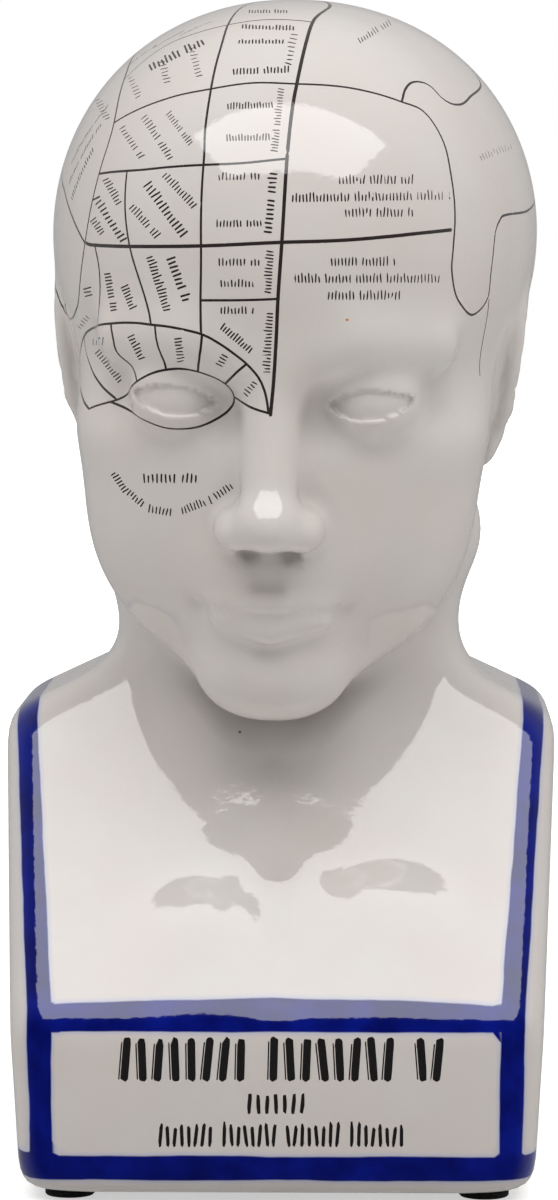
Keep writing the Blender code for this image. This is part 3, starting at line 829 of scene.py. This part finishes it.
def split_faces(print_, near, crossing):
    """Splits the near faces at the points that crossing finds on their edges."""
    faces = print_.faces[near]
    sides = np.stack([faces, np.roll(faces, -1, axis=1)], -1).reshape(-1, 2)
    ends, index = np.unique(np.sort(sides, axis=1), axis=0, return_inverse=True)
    share = crossing(ends)
    is_cut = ~np.isnan(share)
    if not is_cut.any():
        return
    a, b = print_.points[ends[is_cut, 0]], print_.points[ends[is_cut, 1]]
    made = np.full(len(ends), -1)
    made[is_cut] = len(print_.points) + np.arange(is_cut.sum())
    print_.points = np.concatenate([print_.points, a + share[is_cut, None] * (b - a)])
    mid = made[index.reshape(-1)].reshape(-1, 3)
    count = (mid >= 0).sum(axis=1)
    pieces, parents = [faces[count == 0]], [np.flatnonzero(count == 0)]

    def turned(wanted, first):
        order = (first[:, None] + np.arange(3)) % 3
        f = np.take_along_axis(faces[wanted], order, 1)
        return (*f.T, *np.take_along_axis(mid[wanted], order, 1).T)

    for number in (1, 2, 3):
        wanted = np.flatnonzero(count == number)
        cuts = mid[wanted] >= 0
        if number == 1:
            v0, v1, v2, m0, m1, m2 = turned(wanted, cuts.argmax(axis=1))
            new = ((v0, m0, v2), (m0, v1, v2))
        elif number == 2:
            v0, v1, v2, m0, m1, m2 = turned(wanted, ((~cuts).argmax(axis=1) + 2) % 3)
            new = ((v0, m0, m2), (m0, v1, v2), (m0, v2, m2))
        else:
            v0, v1, v2, m0, m1, m2 = turned(wanted, np.zeros(len(wanted), int))
            new = ((v0, m0, m2), (m0, v1, m1), (m1, v2, m2), (m0, m1, m2))
        for corners in new:
            pieces.append(np.stack(corners, -1))
            parents.append(wanted)
    finish = print_.finish[near][np.concatenate(parents)]
    print_.faces = np.concatenate([print_.faces[~near], *pieces])
    print_.finish = np.concatenate([print_.finish[~near], finish])


def poke(part, place):
    """Adds a corner at the place, so that a line can end there."""
    a, b, c = (part.points[part.faces[:, i]] for i in range(3))
    normal = np.cross(b - a, c - a)
    area2 = np.maximum((normal * normal).sum(-1), 1e-12)
    off = np.abs(((place - a) * normal).sum(-1)) / np.sqrt(area2)
    share = np.stack([(np.cross(c - b, place - b) * normal).sum(-1),
                      (np.cross(a - c, place - c) * normal).sum(-1),
                      (np.cross(b - a, place - a) * normal).sum(-1)], -1) / area2[:, None]
    fits = np.flatnonzero((share.min(axis=1) > POKE_CLEAR) & (off < POKE_REACH))
    if not len(fits):
        return
    face = fits[0]
    v0, v1, v2 = part.faces[face]
    new = len(part.points)
    part.points = np.concatenate([part.points, place[None]])
    part.faces[face] = (v0, v1, new)
    part.faces = np.concatenate([part.faces, [(v1, v2, new), (v2, v0, new)]])
    part.finish = np.concatenate([part.finish, [part.finish[face]] * 2])


def cut_line(part, path, outwards, width, finish):
    """Cuts the edges of a line of this width into the skin and gives what is between them its finish."""
    poke(part, path[0])
    poke(part, path[-1])
    half = width / 2

    def near_path():
        level = to_path(part.points, path, outwards)
        return np.abs(level)[part.faces].min(axis=1) < LONGEST_EDGE, level

    about, level = near_path()

    def on_line(ends):
        a, b = level[ends[:, 0]], level[ends[:, 1]]
        length = np.linalg.norm(part.points[ends[:, 0]] - part.points[ends[:, 1]], axis=-1)
        crossed = (a * b < 0) & (np.abs(a) + np.abs(b) < BESIDE_SHARE * length)
        crossed &= np.minimum(np.abs(a), np.abs(b)) > half / 2
        return np.where(crossed, a / np.where(a == b, 1.0, a - b), np.nan)

    split_faces(part, about, on_line)
    about, level = near_path()

    def on_border(ends):
        a, b = np.abs(level[ends[:, 0]]) - half, np.abs(level[ends[:, 1]]) - half
        a[np.abs(a) < ON_EDGE], b[np.abs(b) < ON_EDGE] = 0.0, 0.0
        crossed = a * b < 0
        share = np.full(len(ends), np.nan)
        if crossed.any():
            start, end = part.points[ends[crossed, 0]], part.points[ends[crossed, 1]]
            low, high = np.zeros(len(start)), np.ones(len(start))
            starts_in = a[crossed] < 0
            for _ in range(HALVINGS):
                middle = (low + high) / 2
                at = start + middle[:, None] * (end - start)
                same = (np.abs(to_path(at, path, outwards)) < half) == starts_in
                low, high = np.where(same, middle, low), np.where(same, high, middle)
            share[crossed] = (low + high) / 2
        return share

    split_faces(part, about, on_border)
    about, level = near_path()
    faces = part.faces[about]
    inside = np.abs(to_path(part.points[faces].mean(axis=1), path, outwards)) < half
    inside &= np.abs(level)[faces].max(axis=1) < half + SPIKE
    part.finish[np.flatnonzero(about)[inside]] = finish


LINE_PIECE = 24


def draw(print_, path, outwards, width, finish):
    """Draws a line of the map, a piece at a time."""
    for start in range(0, len(path) - 1, LINE_PIECE):
        piece = slice(start, start + LINE_PIECE + 1)
        part, chosen, ids = print_.patch([path[piece]])
        cut_line(part, path[piece], outwards[piece], width, finish)
        print_.put_back(part, chosen, ids)


STROKE_GAP_EVERY = 9
STROKE_GAP_CHANCE = 0.6
STROKE_LEAN = 0.05


def stroke_row(print_, skin, place, row, unit, finish, chance):
    """A row of short upright strokes of uneven height. unit is one millimetre across in the row's
    own units, and which way is up in them."""
    tilt = np.radians(row.tilt)
    along = np.array([np.cos(tilt), np.sin(tilt) * unit[1]])
    across = np.array([-np.sin(tilt), np.cos(tilt) * unit[1]])
    count = max(2, int(round(row.length / (row.pitch * row.stroke * unit[0]))))
    strokes = []
    for i in range(count):
        tall, lean = chance.uniform(row.shortest, 1.0), chance.uniform(-1, 1) * STROKE_LEAN
        gap = chance.random() < STROKE_GAP_CHANCE
        if gap and i % STROKE_GAP_EVERY == STROKE_GAP_EVERY - 1:
            continue
        middle = np.array(row.middle) + along * ((i + 0.5) / count - 0.5) * row.length
        rise = across * (0.5 * tall * row.height) + along * lean * row.height
        base = middle - across * (0.5 * (1 - tall) * row.height)
        ends = [place(skin, base - rise), place(skin, base + rise)]
        strokes.append(laid_on(skin, smooth_through(ends, LINE_SPACING)))
    part, chosen, ids = print_.patch([path for path, _ in strokes])
    for path, outwards in strokes:
        cut_line(part, path, outwards, row.stroke, finish)
    print_.put_back(part, chosen, ids)


# Rows on the hidden sides, by longitude and latitude: a middle, and the lengths of its rows
BACK_LABELS = (((-166, 31), (15, 10, 13)), ((-139, 33), (15, 11)), ((-115, 34), (11, 8, 10)),
               ((-167, 3), (14, 10)), ((-164, 57), (16, 11)), ((-122, 58), (18, 12)),
               ((166, 29), (15, 10, 13)), ((141, 29), (13, 9)), ((119, 28), (12, 9, 11)),
               ((167, 2), (14, 10)), ((160, 58), (15, 11)), ((-134, 2), (16, 11)), ((132, -4), (16, 11)))
SIDE_ROWS = (Row((-57.5, 21.5), 69, 14, 2.2, BOOK), Row((-63, 26), 63, 18, 2.2, BOOK),
             Row((-68.5, 30.5), 62, 19, 2.0, LIGHT), Row((-84, 53), 65, 9, 2.2, LIGHT),
             Row((-78, 60), 62, 9, 2.2, LIGHT), Row((-66, 66), 60, 9, 2.2, LIGHT))
BACK_ROW_PITCH = 4.0
BACK_ROW_HEIGHT = 2.2

# Little faults of the glaze, in the photo's pixels: an iron speck and a rust one
IRON_SPECK = (240, 732)
RUST_SPECK = (347, 320)
SPECK_ACROSS = 0.55
SPECK_HALF_PIXELS = 0.6

# Finishes of the skin, by number
GLAZE, INK, BOLD_INK, IRON, RUST = range(5)

# How deep a hollow has to be to take its full painted shade, and how far apart the slopes behind a glint are
# taken
HOLLOW_SHADE_DEPTH = 10.0
GLINT_REACH = 0.6
SEED = 7


def outside_bands(points):
    """How far the points are outside the nearest painted band, below zero inside one."""
    x, y, z = points.T
    across = np.abs(x)
    inner = np.interp(z, BAND_LEVELS, BAND_INNER)
    outer = np.interp(z, BAND_LEVELS, BAND_OUTER)
    upright = np.maximum.reduce([inner - across, across - outer, FOOT_BAND[0] - z, z - BAND_TOP])
    top = LEDGE_BAND[1] - LEDGE_BAND_BOW * (across / BAND_INNER[1]) ** 2
    level = np.maximum.reduce([LEDGE_BAND[0] - z, z - top, across - outer, y - LEDGE_BAND_TO])
    foot = np.maximum(FOOT_BAND[0] - z, z - FOOT_BAND[1])
    return np.minimum.reduce([upright, level, foot])


# Finishes
def linear(hex_colour):
    """An sRGB hex colour as the linear one that a shader takes."""
    parts = [int(hex_colour[i : i + 2], 16) / 255 for i in (1, 3, 5)]
    return (*[c / 12.92 if c <= 0.04045 else ((c + 0.055) / 1.055) ** 2.4 for c in parts], 1.0)


def add_node(tree, kind, sockets=(), **settings):
    """A node with its settings, and with sockets that hold a value or a link from another node."""
    made = tree.nodes.new(kind)
    for name, value in settings.items():
        setattr(made, name, value)
    for name, value in dict(sockets).items():
        if isinstance(value, bpy.types.NodeSocket):
            tree.links.new(value, made.inputs[name])
        else:
            made.inputs[name].default_value = value
    return made


def new_finish(name, **shader):
    """A material with one shader, whose sockets are named with _ for a space."""
    made = bpy.data.materials.new(name)
    made.use_nodes = True
    tree = made.node_tree
    body = tree.nodes["Principled BSDF"]
    for key, value in shader.items():
        body.inputs[key.replace("_", " ")].default_value = value
    return made, tree, body


# Glaze: how it bends light, its gloss, and its ripples
GLAZE_IOR = 1.64
GLAZE_ROUGHNESS = 0.07
ORANGE_PEEL_MM = 1.9
ORANGE_PEEL_DEEP = 0.032 * MM
SWELL_MM = 17.0
SWELL_DEEP = 0.09 * MM
RIPPLE_DETAIL = 1.0

# White body: its colours, how large and strong its clouds are, and the painted shade that darkens its
# hollows, where glaze also pools
WHITE = "#CEC9C5"
WARM_WHITE = "#CDC4BF"
CLOUD_MM = 26.0
CLOUD_DETAIL = 3.0
CLOUD_ROUGHNESS = 0.55
CLOUD_FROM, CLOUD_TO = 0.35, 0.7
# Painted shade in the hollows, where glaze also pools: its colour, where it starts and is full, and its
# strongest share
HOLLOW_SHADE = "#A09A95"
HOLLOW_SHADE_FROM, HOLLOW_SHADE_TO = 0.22, 0.85
HOLLOW_SHADE_SHARE = 0.85

# Cobalt: its colours under a full and a thin brush, its bleed, and the painter's unsteady edge
COBALT_DEEP = "#00085C"
COBALT_THIN = "#03157E"
COBALT_BLEED = "#A9AFCF"
BRUSH_LOAD_MM = 11.0
BRUSH_DETAIL = 3.5
BRUSH_FROM, BRUSH_TO = 0.38, 0.66
BLEED_MM = 1.3
BLEED_SHARE = 0.55
PAINT_EDGE_MM = 0.22
HAND_MM = 16.0
HAND_DETAIL = 2.5
HAND_WOBBLE = 0.9

# Printing ink, and the specks
INK_COLOUR = "#2E2826"
BOLD_INK_COLOUR = "#1D1A1A"
IRON_COLOUR = "#4A3A33"
RUST_COLOUR = "#B8783F"

# Rubber of the pads
RUBBER = "#141414"
RUBBER_DUST = "#2B2A29"
RUBBER_IOR = 1.52
RUBBER_ROUGHNESS = 0.85
RUBBER_GRAIN_MM = 0.6
RUBBER_DETAIL = 4.0
RUBBER_GRAIN_DEEP = 0.05 * MM


def glaze_ripple(tree, place):
    """The slight waves that a dipped glaze sets with: orange peel, and slow swells under it."""
    peel = add_node(tree, "ShaderNodeTexNoise", {"Vector": place, "Scale": 1 / (ORANGE_PEEL_MM * MM),
                                                 "Detail": RIPPLE_DETAIL})
    swell = add_node(tree, "ShaderNodeTexNoise", {"Vector": place, "Scale": 1 / (SWELL_MM * MM),
                                                  "Detail": RIPPLE_DETAIL})
    slow = add_node(tree, "ShaderNodeBump", {"Height": swell.outputs["Fac"], "Distance": SWELL_DEEP,
                                             "Strength": 1.0})
    fine = add_node(tree, "ShaderNodeBump", {"Height": peel.outputs["Fac"], "Distance": ORANGE_PEEL_DEEP,
                                             "Strength": 1.0, "Normal": slow.outputs["Normal"]})
    return fine.outputs["Normal"]


def white_glazed_earthenware():
    """White earthenware dipped in a clear lead glaze. The eye sees a warm grey-white with cloudy patches,
    darkened by painted shade in the hollows, where glaze also pools, a wet gloss with faint orange peel,
    and bands of brushed cobalt that have bled a little into the glaze."""
    made, tree, body = new_finish("white_glazed_earthenware", IOR=GLAZE_IOR, Roughness=GLAZE_ROUGHNESS)
    place = add_node(tree, "ShaderNodeTexCoord").outputs["Object"]
    cloud = add_node(tree, "ShaderNodeTexNoise", {"Vector": place, "Scale": 1 / (CLOUD_MM * MM),
                                                  "Detail": CLOUD_DETAIL, "Roughness": CLOUD_ROUGHNESS})
    cloudy = add_node(tree, "ShaderNodeMapRange", {"Value": cloud.outputs["Fac"], "From Min": CLOUD_FROM,
                                                   "From Max": CLOUD_TO})
    # Painted shade: the white is darkened in the hollows, where glaze also pools
    hollow_shade = add_node(tree, "ShaderNodeAttribute", attribute_name="hollow_shade")
    shaded_in_hollows = add_node(tree, "ShaderNodeMapRange", {"Value": hollow_shade.outputs["Fac"], "From Min": HOLLOW_SHADE_FROM,
                                                   "From Max": HOLLOW_SHADE_TO, "To Max": HOLLOW_SHADE_SHARE})
    band = add_node(tree, "ShaderNodeAttribute", attribute_name="outside_band").outputs["Fac"]
    hand = add_node(tree, "ShaderNodeTexNoise", {"Vector": place, "Scale": 1 / (HAND_MM * MM),
                                                 "Detail": HAND_DETAIL})
    shaky = add_node(tree, "ShaderNodeMath", {0: hand.outputs["Fac"], 1: HAND_WOBBLE, 2: -HAND_WOBBLE / 2},
                     operation="MULTIPLY_ADD")
    edge = add_node(tree, "ShaderNodeMath", {0: band, 1: shaky.outputs[0]}, operation="ADD").outputs[0]
    bleed = add_node(tree, "ShaderNodeMapRange", {"Value": edge, "From Min": 0.0, "From Max": BLEED_MM,
                                                  "To Min": BLEED_SHARE, "To Max": 0.0},
                     interpolation_type="SMOOTHSTEP")
    load = add_node(tree, "ShaderNodeTexNoise", {"Vector": place, "Scale": 1 / (BRUSH_LOAD_MM * MM),
                                                 "Detail": BRUSH_DETAIL})
    loaded = add_node(tree, "ShaderNodeMapRange", {"Value": load.outputs["Fac"], "From Min": BRUSH_FROM,
                                                   "From Max": BRUSH_TO})
    cobalt = add_node(tree, "ShaderNodeMix", {0: loaded.outputs["Result"], 6: linear(COBALT_DEEP),
                                              7: linear(COBALT_THIN)}, data_type="RGBA").outputs[2]
    painted = add_node(tree, "ShaderNodeMapRange", {"Value": edge, "From Min": -PAINT_EDGE_MM,
                                                    "From Max": PAINT_EDGE_MM, "To Min": 1.0, "To Max": 0.0},
                       interpolation_type="SMOOTHSTEP")
    colour = linear(WHITE)
    for share, over in ((cloudy, linear(WARM_WHITE)), (shaded_in_hollows, linear(HOLLOW_SHADE)),
                        (bleed, linear(COBALT_BLEED)), (painted, cobalt)):
        colour = add_node(tree, "ShaderNodeMix", {0: share.outputs["Result"], 6: colour, 7: over},
                          data_type="RGBA").outputs[2]
    tree.links.new(colour, body.inputs["Base Color"])
    tree.links.new(glaze_ripple(tree, place), body.inputs["Normal"])
    return made


def under_glaze(name, colour):
    """A print or a speck under the same clear glaze: one flat, dull colour with the glaze's own gloss."""
    made, tree, body = new_finish(name, IOR=GLAZE_IOR, Roughness=GLAZE_ROUGHNESS, Base_Color=linear(colour))
    place = add_node(tree, "ShaderNodeTexCoord").outputs["Object"]
    tree.links.new(glaze_ripple(tree, place), body.inputs["Normal"])
    return made


def moulded_rubber():
    """Soft moulded rubber: a dull near-black with a fine matt grain and grey dust in its pores."""
    made, tree, body = new_finish("moulded_rubber", IOR=RUBBER_IOR, Roughness=RUBBER_ROUGHNESS)
    place = add_node(tree, "ShaderNodeTexCoord").outputs["Object"]
    grain = add_node(tree, "ShaderNodeTexNoise", {"Vector": place, "Scale": 1 / (RUBBER_GRAIN_MM * MM),
                                                  "Detail": RUBBER_DETAIL})
    colour = add_node(tree, "ShaderNodeMix", {0: grain.outputs["Fac"], 6: linear(RUBBER),
                                              7: linear(RUBBER_DUST)}, data_type="RGBA").outputs[2]
    tree.links.new(colour, body.inputs["Base Color"])
    bump = add_node(tree, "ShaderNodeBump", {"Height": grain.outputs["Fac"], "Distance": RUBBER_GRAIN_DEEP})
    tree.links.new(bump.outputs["Normal"], body.inputs["Normal"])
    return made


# Pieces
def map_path(skin, line):
    """A map line's path on the skin, with the way that is outwards at each of its points."""
    knots = [by_turn(skin, place) for place in line.before]
    knots += [by_pixel(skin, pixel) for pixel in line.seen]
    knots += [by_turn(skin, place) for place in line.after]
    return laid_on(skin, smooth_through(knots, LINE_SPACING))


def print_map(print_, skin):
    for line in MAP_LINES:
        draw(print_, *map_path(skin, line), line.width, INK)


def print_labels(print_, skin):
    chance = np.random.default_rng(SEED)
    pixels = (1 / PIXEL_MM, -1.0)
    plain = (1.0, 1.0)
    for row in LABEL_ROWS:
        stroke_row(print_, skin, by_pixel, row, pixels, INK, chance)
    for row in SIDE_ROWS:
        stroke_row(print_, skin, by_turn, row, plain, INK, chance)
    for (longitude, latitude), lengths in BACK_LABELS:
        for i, length in enumerate(lengths):
            up = ((len(lengths) - 1) / 2 - i) * BACK_ROW_PITCH
            row = Row((longitude, latitude + up), 0, length, BACK_ROW_HEIGHT, BOOK)
            stroke_row(print_, skin, by_turn, row, plain, INK, chance)
    widths = TITLE_ROW.pitch * TITLE_ROW.stroke / TITLE_SHADOW_STROKE
    beside = tuple(np.array(TITLE_ROW.middle) + TITLE_SHADOW_AT)
    shadow = TITLE_ROW._replace(middle=beside, stroke=TITLE_SHADOW_STROKE, pitch=widths)
    for row in (TITLE_ROW, shadow, SECOND_ROW, THIRD_ROW):
        stroke_row(print_, skin, by_pixel, row, pixels, BOLD_INK, np.random.default_rng(SEED))


def print_specks(print_, skin):
    for pixel, finish in ((IRON_SPECK, IRON), (RUST_SPECK, RUST)):
        ends = [by_pixel(skin, (pixel[0] + side * SPECK_HALF_PIXELS, pixel[1])) for side in (-1, 1)]
        draw(print_, *laid_on(skin, ends), SPECK_ACROSS, finish)


def fit_to_box(points, low, high):
    """The points brought exactly into the solid's box, which a finer grid misses by a hair."""
    own_low, own_high = points.min(axis=0), points.max(axis=0)
    return low + (points - own_low) * (high - low) / (own_high - own_low)


def glazed_bust():
    marks = grid_marks(EYE_STEP, FINE_STEP, COARSE_STEP)
    points, quads = surface_nets(part_touching(sample(bust, marks)), marks)
    points = flat_below(even_out(bust, points, quads, RELAX_ROUNDS), UNDERSIDE)
    faces = np.concatenate([quads[:, [0, 1, 2]], quads[:, [0, 2, 3]]])
    print_ = Print(points, faces, np.full(len(faces), GLAZE))
    skin = BVHTree.FromPolygons(points.tolist(), faces.tolist())
    print_map(print_, skin)
    print_labels(print_, skin)
    print_specks(print_, skin)
    level = in_parts(bust, print_.points)
    outwards = sum(slope(bust, print_.points, level, reach) for reach in (GLINT_REACH, -GLINT_REACH))
    outwards /= np.maximum(np.linalg.norm(outwards, axis=-1, keepdims=True), 1e-9)
    # Painted shade: how deep each point sits in a hollow, which darkens the white glaze there
    hollow_shade = np.clip(1.0 - in_parts(bust, print_.points + HOLLOW_SHADE_DEPTH * outwards) / HOLLOW_SHADE_DEPTH, 0.0, 1.0)
    low, high = (np.array(corner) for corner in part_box("phrenology_bust"))
    mesh = bpy.data.meshes.new("glazed_bust")
    mesh.from_pydata(fit_to_box(print_.points, low, high).tolist(), [], print_.faces.tolist())
    mesh.polygons.foreach_set("material_index", print_.finish)
    mesh.polygons.foreach_set("use_smooth", np.ones(len(print_.faces), bool))
    for name, values in (("hollow_shade", hollow_shade), ("outside_band", outside_bands(print_.points))):
        mesh.attributes.new(name, "FLOAT", "POINT").data.foreach_set("value", values)
    mesh.normals_split_custom_set_from_vertices(outwards.tolist())
    mesh.materials.append(white_glazed_earthenware())
    # Transfer print: a ceramic ink from an engraved plate, near-black brown with crisp edges
    mesh.materials.append(under_glaze("transfer_print_ink", INK_COLOUR))
    mesh.materials.append(under_glaze("bold_transfer_print_ink", BOLD_INK_COLOUR))
    # Specks of iron and rust that came up through the glaze in the kiln
    mesh.materials.append(under_glaze("iron_speck", IRON_COLOUR))
    mesh.materials.append(under_glaze("rust_speck", RUST_COLOUR))
    made = bpy.data.objects.new("glazed_bust", mesh)
    bpy.context.scene.collection.objects.link(made)
    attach(made, "root")
    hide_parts("phrenology_bust")
    return made


# Studio: metres, and the light's strength from the front round to the back, with the share of it that
# the glaze mirrors. The glow under the bust grows from the near radius to the far one.
SOFTBOX = (1.60, 0.82)
SOFTBOX_AT = (0.08, -0.66, 1.0)
SOFTBOX_RADIANCE = 3.3
AMBIENT_FRONT = 0.12
AMBIENT_BEHIND = 1.2
AMBIENT_TURN = (0.65, 0.35)
MIRRORED_SHARE = 0.3
FLOOR_COLOUR = "#D6D6D5"
FLOOR_ROUGHNESS = 0.9
FLOOR_RADIUS = 6.0
FLOOR_SIDES = 64
GLOW_HEIGHT = 0.0001
GLOW_NEAR = 0.54
GLOW_FAR = 1.0
GLOW_FROM = 0.3
GLOW_TO = 1.3


def behind(place):
    """A place measured from the middle of the block, in metres from the origin."""
    return (np.array(place) + [0.0, BEHIND_ORIGIN, 0.0]) * MM


def camera():
    eye, forward, right, up = camera_place()
    data = bpy.data.cameras.new("camera")
    data.sensor_width = SENSOR_WIDTH
    data.lens = SENSOR_WIDTH * FOCAL_PIXELS / PHOTO_HEIGHT
    made = bpy.data.objects.new("camera", data)
    made.location = behind(eye)
    made.rotation_euler = Vector(forward).to_track_quat("-Z", "Y").to_euler()
    bpy.context.scene.collection.objects.link(made)
    bpy.context.scene.camera = made


def disc(name, height, look):
    mesh = bpy.data.meshes.new(name)
    around = np.linspace(0.0, 2 * np.pi, FLOOR_SIDES + 1)[:-1]
    ring = np.stack([np.cos(around), np.sin(around), 0 * around], -1) * FLOOR_RADIUS
    mesh.from_pydata(ring.tolist(), [], [list(range(len(ring)))])
    mesh.materials.append(look)
    made = bpy.data.objects.new(name, mesh)
    made.location.z = height
    bpy.context.scene.collection.objects.link(made)
    return made


def white_glow():
    """A clear sheet that only adds white, more of it further out, so that the floor runs into the
    background."""
    made = bpy.data.materials.new("white_glow")
    made.use_nodes = True
    tree = made.node_tree
    tree.nodes.clear()
    place = add_node(tree, "ShaderNodeTexCoord").outputs["Object"]
    away = add_node(tree, "ShaderNodeVectorMath", {0: place}, operation="LENGTH")
    glow = add_node(tree, "ShaderNodeMapRange", {"Value": away.outputs["Value"], "From Min": GLOW_FROM,
                                                 "From Max": GLOW_TO, "To Min": GLOW_NEAR,
                                                 "To Max": GLOW_FAR}, interpolation_type="SMOOTHSTEP")
    light = add_node(tree, "ShaderNodeEmission", {"Strength": glow.outputs["Result"]})
    clear = add_node(tree, "ShaderNodeBsdfTransparent")
    both = add_node(tree, "ShaderNodeAddShader", {0: light.outputs[0], 1: clear.outputs[0]})
    add_node(tree, "ShaderNodeOutputMaterial", {"Surface": both.outputs[0]})
    return made


def studio():
    """A pale floor under one wide softbox, above and in front, with little other light."""
    paper, _, _ = new_finish("matt_white_paper", Base_Color=linear(FLOOR_COLOUR), Roughness=FLOOR_ROUGHNESS)
    floor = disc("floor", 0.0, paper)
    floor.visible_glossy = False
    glow = disc("floor_glow", GLOW_HEIGHT, white_glow())
    glow.visible_diffuse = glow.visible_glossy = glow.visible_transmission = glow.visible_shadow = False
    lamp = bpy.data.lights.new("softbox", "AREA")
    lamp.shape, lamp.size, lamp.size_y = "RECTANGLE", *SOFTBOX
    lamp.energy = SOFTBOX_RADIANCE * np.pi * SOFTBOX[0] * SOFTBOX[1]
    box = bpy.data.objects.new("softbox", lamp)
    box.location = SOFTBOX_AT
    bpy.context.scene.collection.objects.link(box)
    world = bpy.data.worlds.new("even_light")
    bpy.context.scene.world = world
    world.use_nodes = True
    tree = world.node_tree
    tree.nodes.clear()
    rays = add_node(tree, "ShaderNodeLightPath")
    way = add_node(tree, "ShaderNodeTexCoord").outputs["Generated"]
    parts = add_node(tree, "ShaderNodeSeparateXYZ", {0: way})
    turned = add_node(tree, "ShaderNodeMapRange", {"Value": parts.outputs["Y"], "From Min": -AMBIENT_TURN[0],
                                                   "From Max": AMBIENT_TURN[1], "To Min": AMBIENT_FRONT,
                                                   "To Max": AMBIENT_BEHIND}, interpolation_type="SMOOTHSTEP")
    share = turned.outputs["Result"]
    even = add_node(tree, "ShaderNodeBackground", {"Color": (1, 1, 1, 1), "Strength": share})
    less = add_node(tree, "ShaderNodeMath", {0: share, 1: MIRRORED_SHARE}, operation="MULTIPLY")
    dark = add_node(tree, "ShaderNodeBackground", {"Color": (1, 1, 1, 1), "Strength": less.outputs[0]})
    white = add_node(tree, "ShaderNodeBackground", {"Color": (1, 1, 1, 1), "Strength": 1.0})
    lit = add_node(tree, "ShaderNodeMixShader", {0: rays.outputs["Is Glossy Ray"], 1: even.outputs[0],
                                                 2: dark.outputs[0]})
    either = add_node(tree, "ShaderNodeMixShader", {0: rays.outputs["Is Camera Ray"], 1: lit.outputs[0],
                                                    2: white.outputs[0]})
    add_node(tree, "ShaderNodeOutputWorld", {"Surface": either.outputs[0]})
    bpy.context.scene.view_settings.view_transform = "Standard"


def main():
    camera()
    studio()
    glazed_bust()
    rubber = moulded_rubber()
    for name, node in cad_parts.items():
        if name.startswith("foot_pad"):
            for place in node.material_slots:
                place.material = rubber


main()
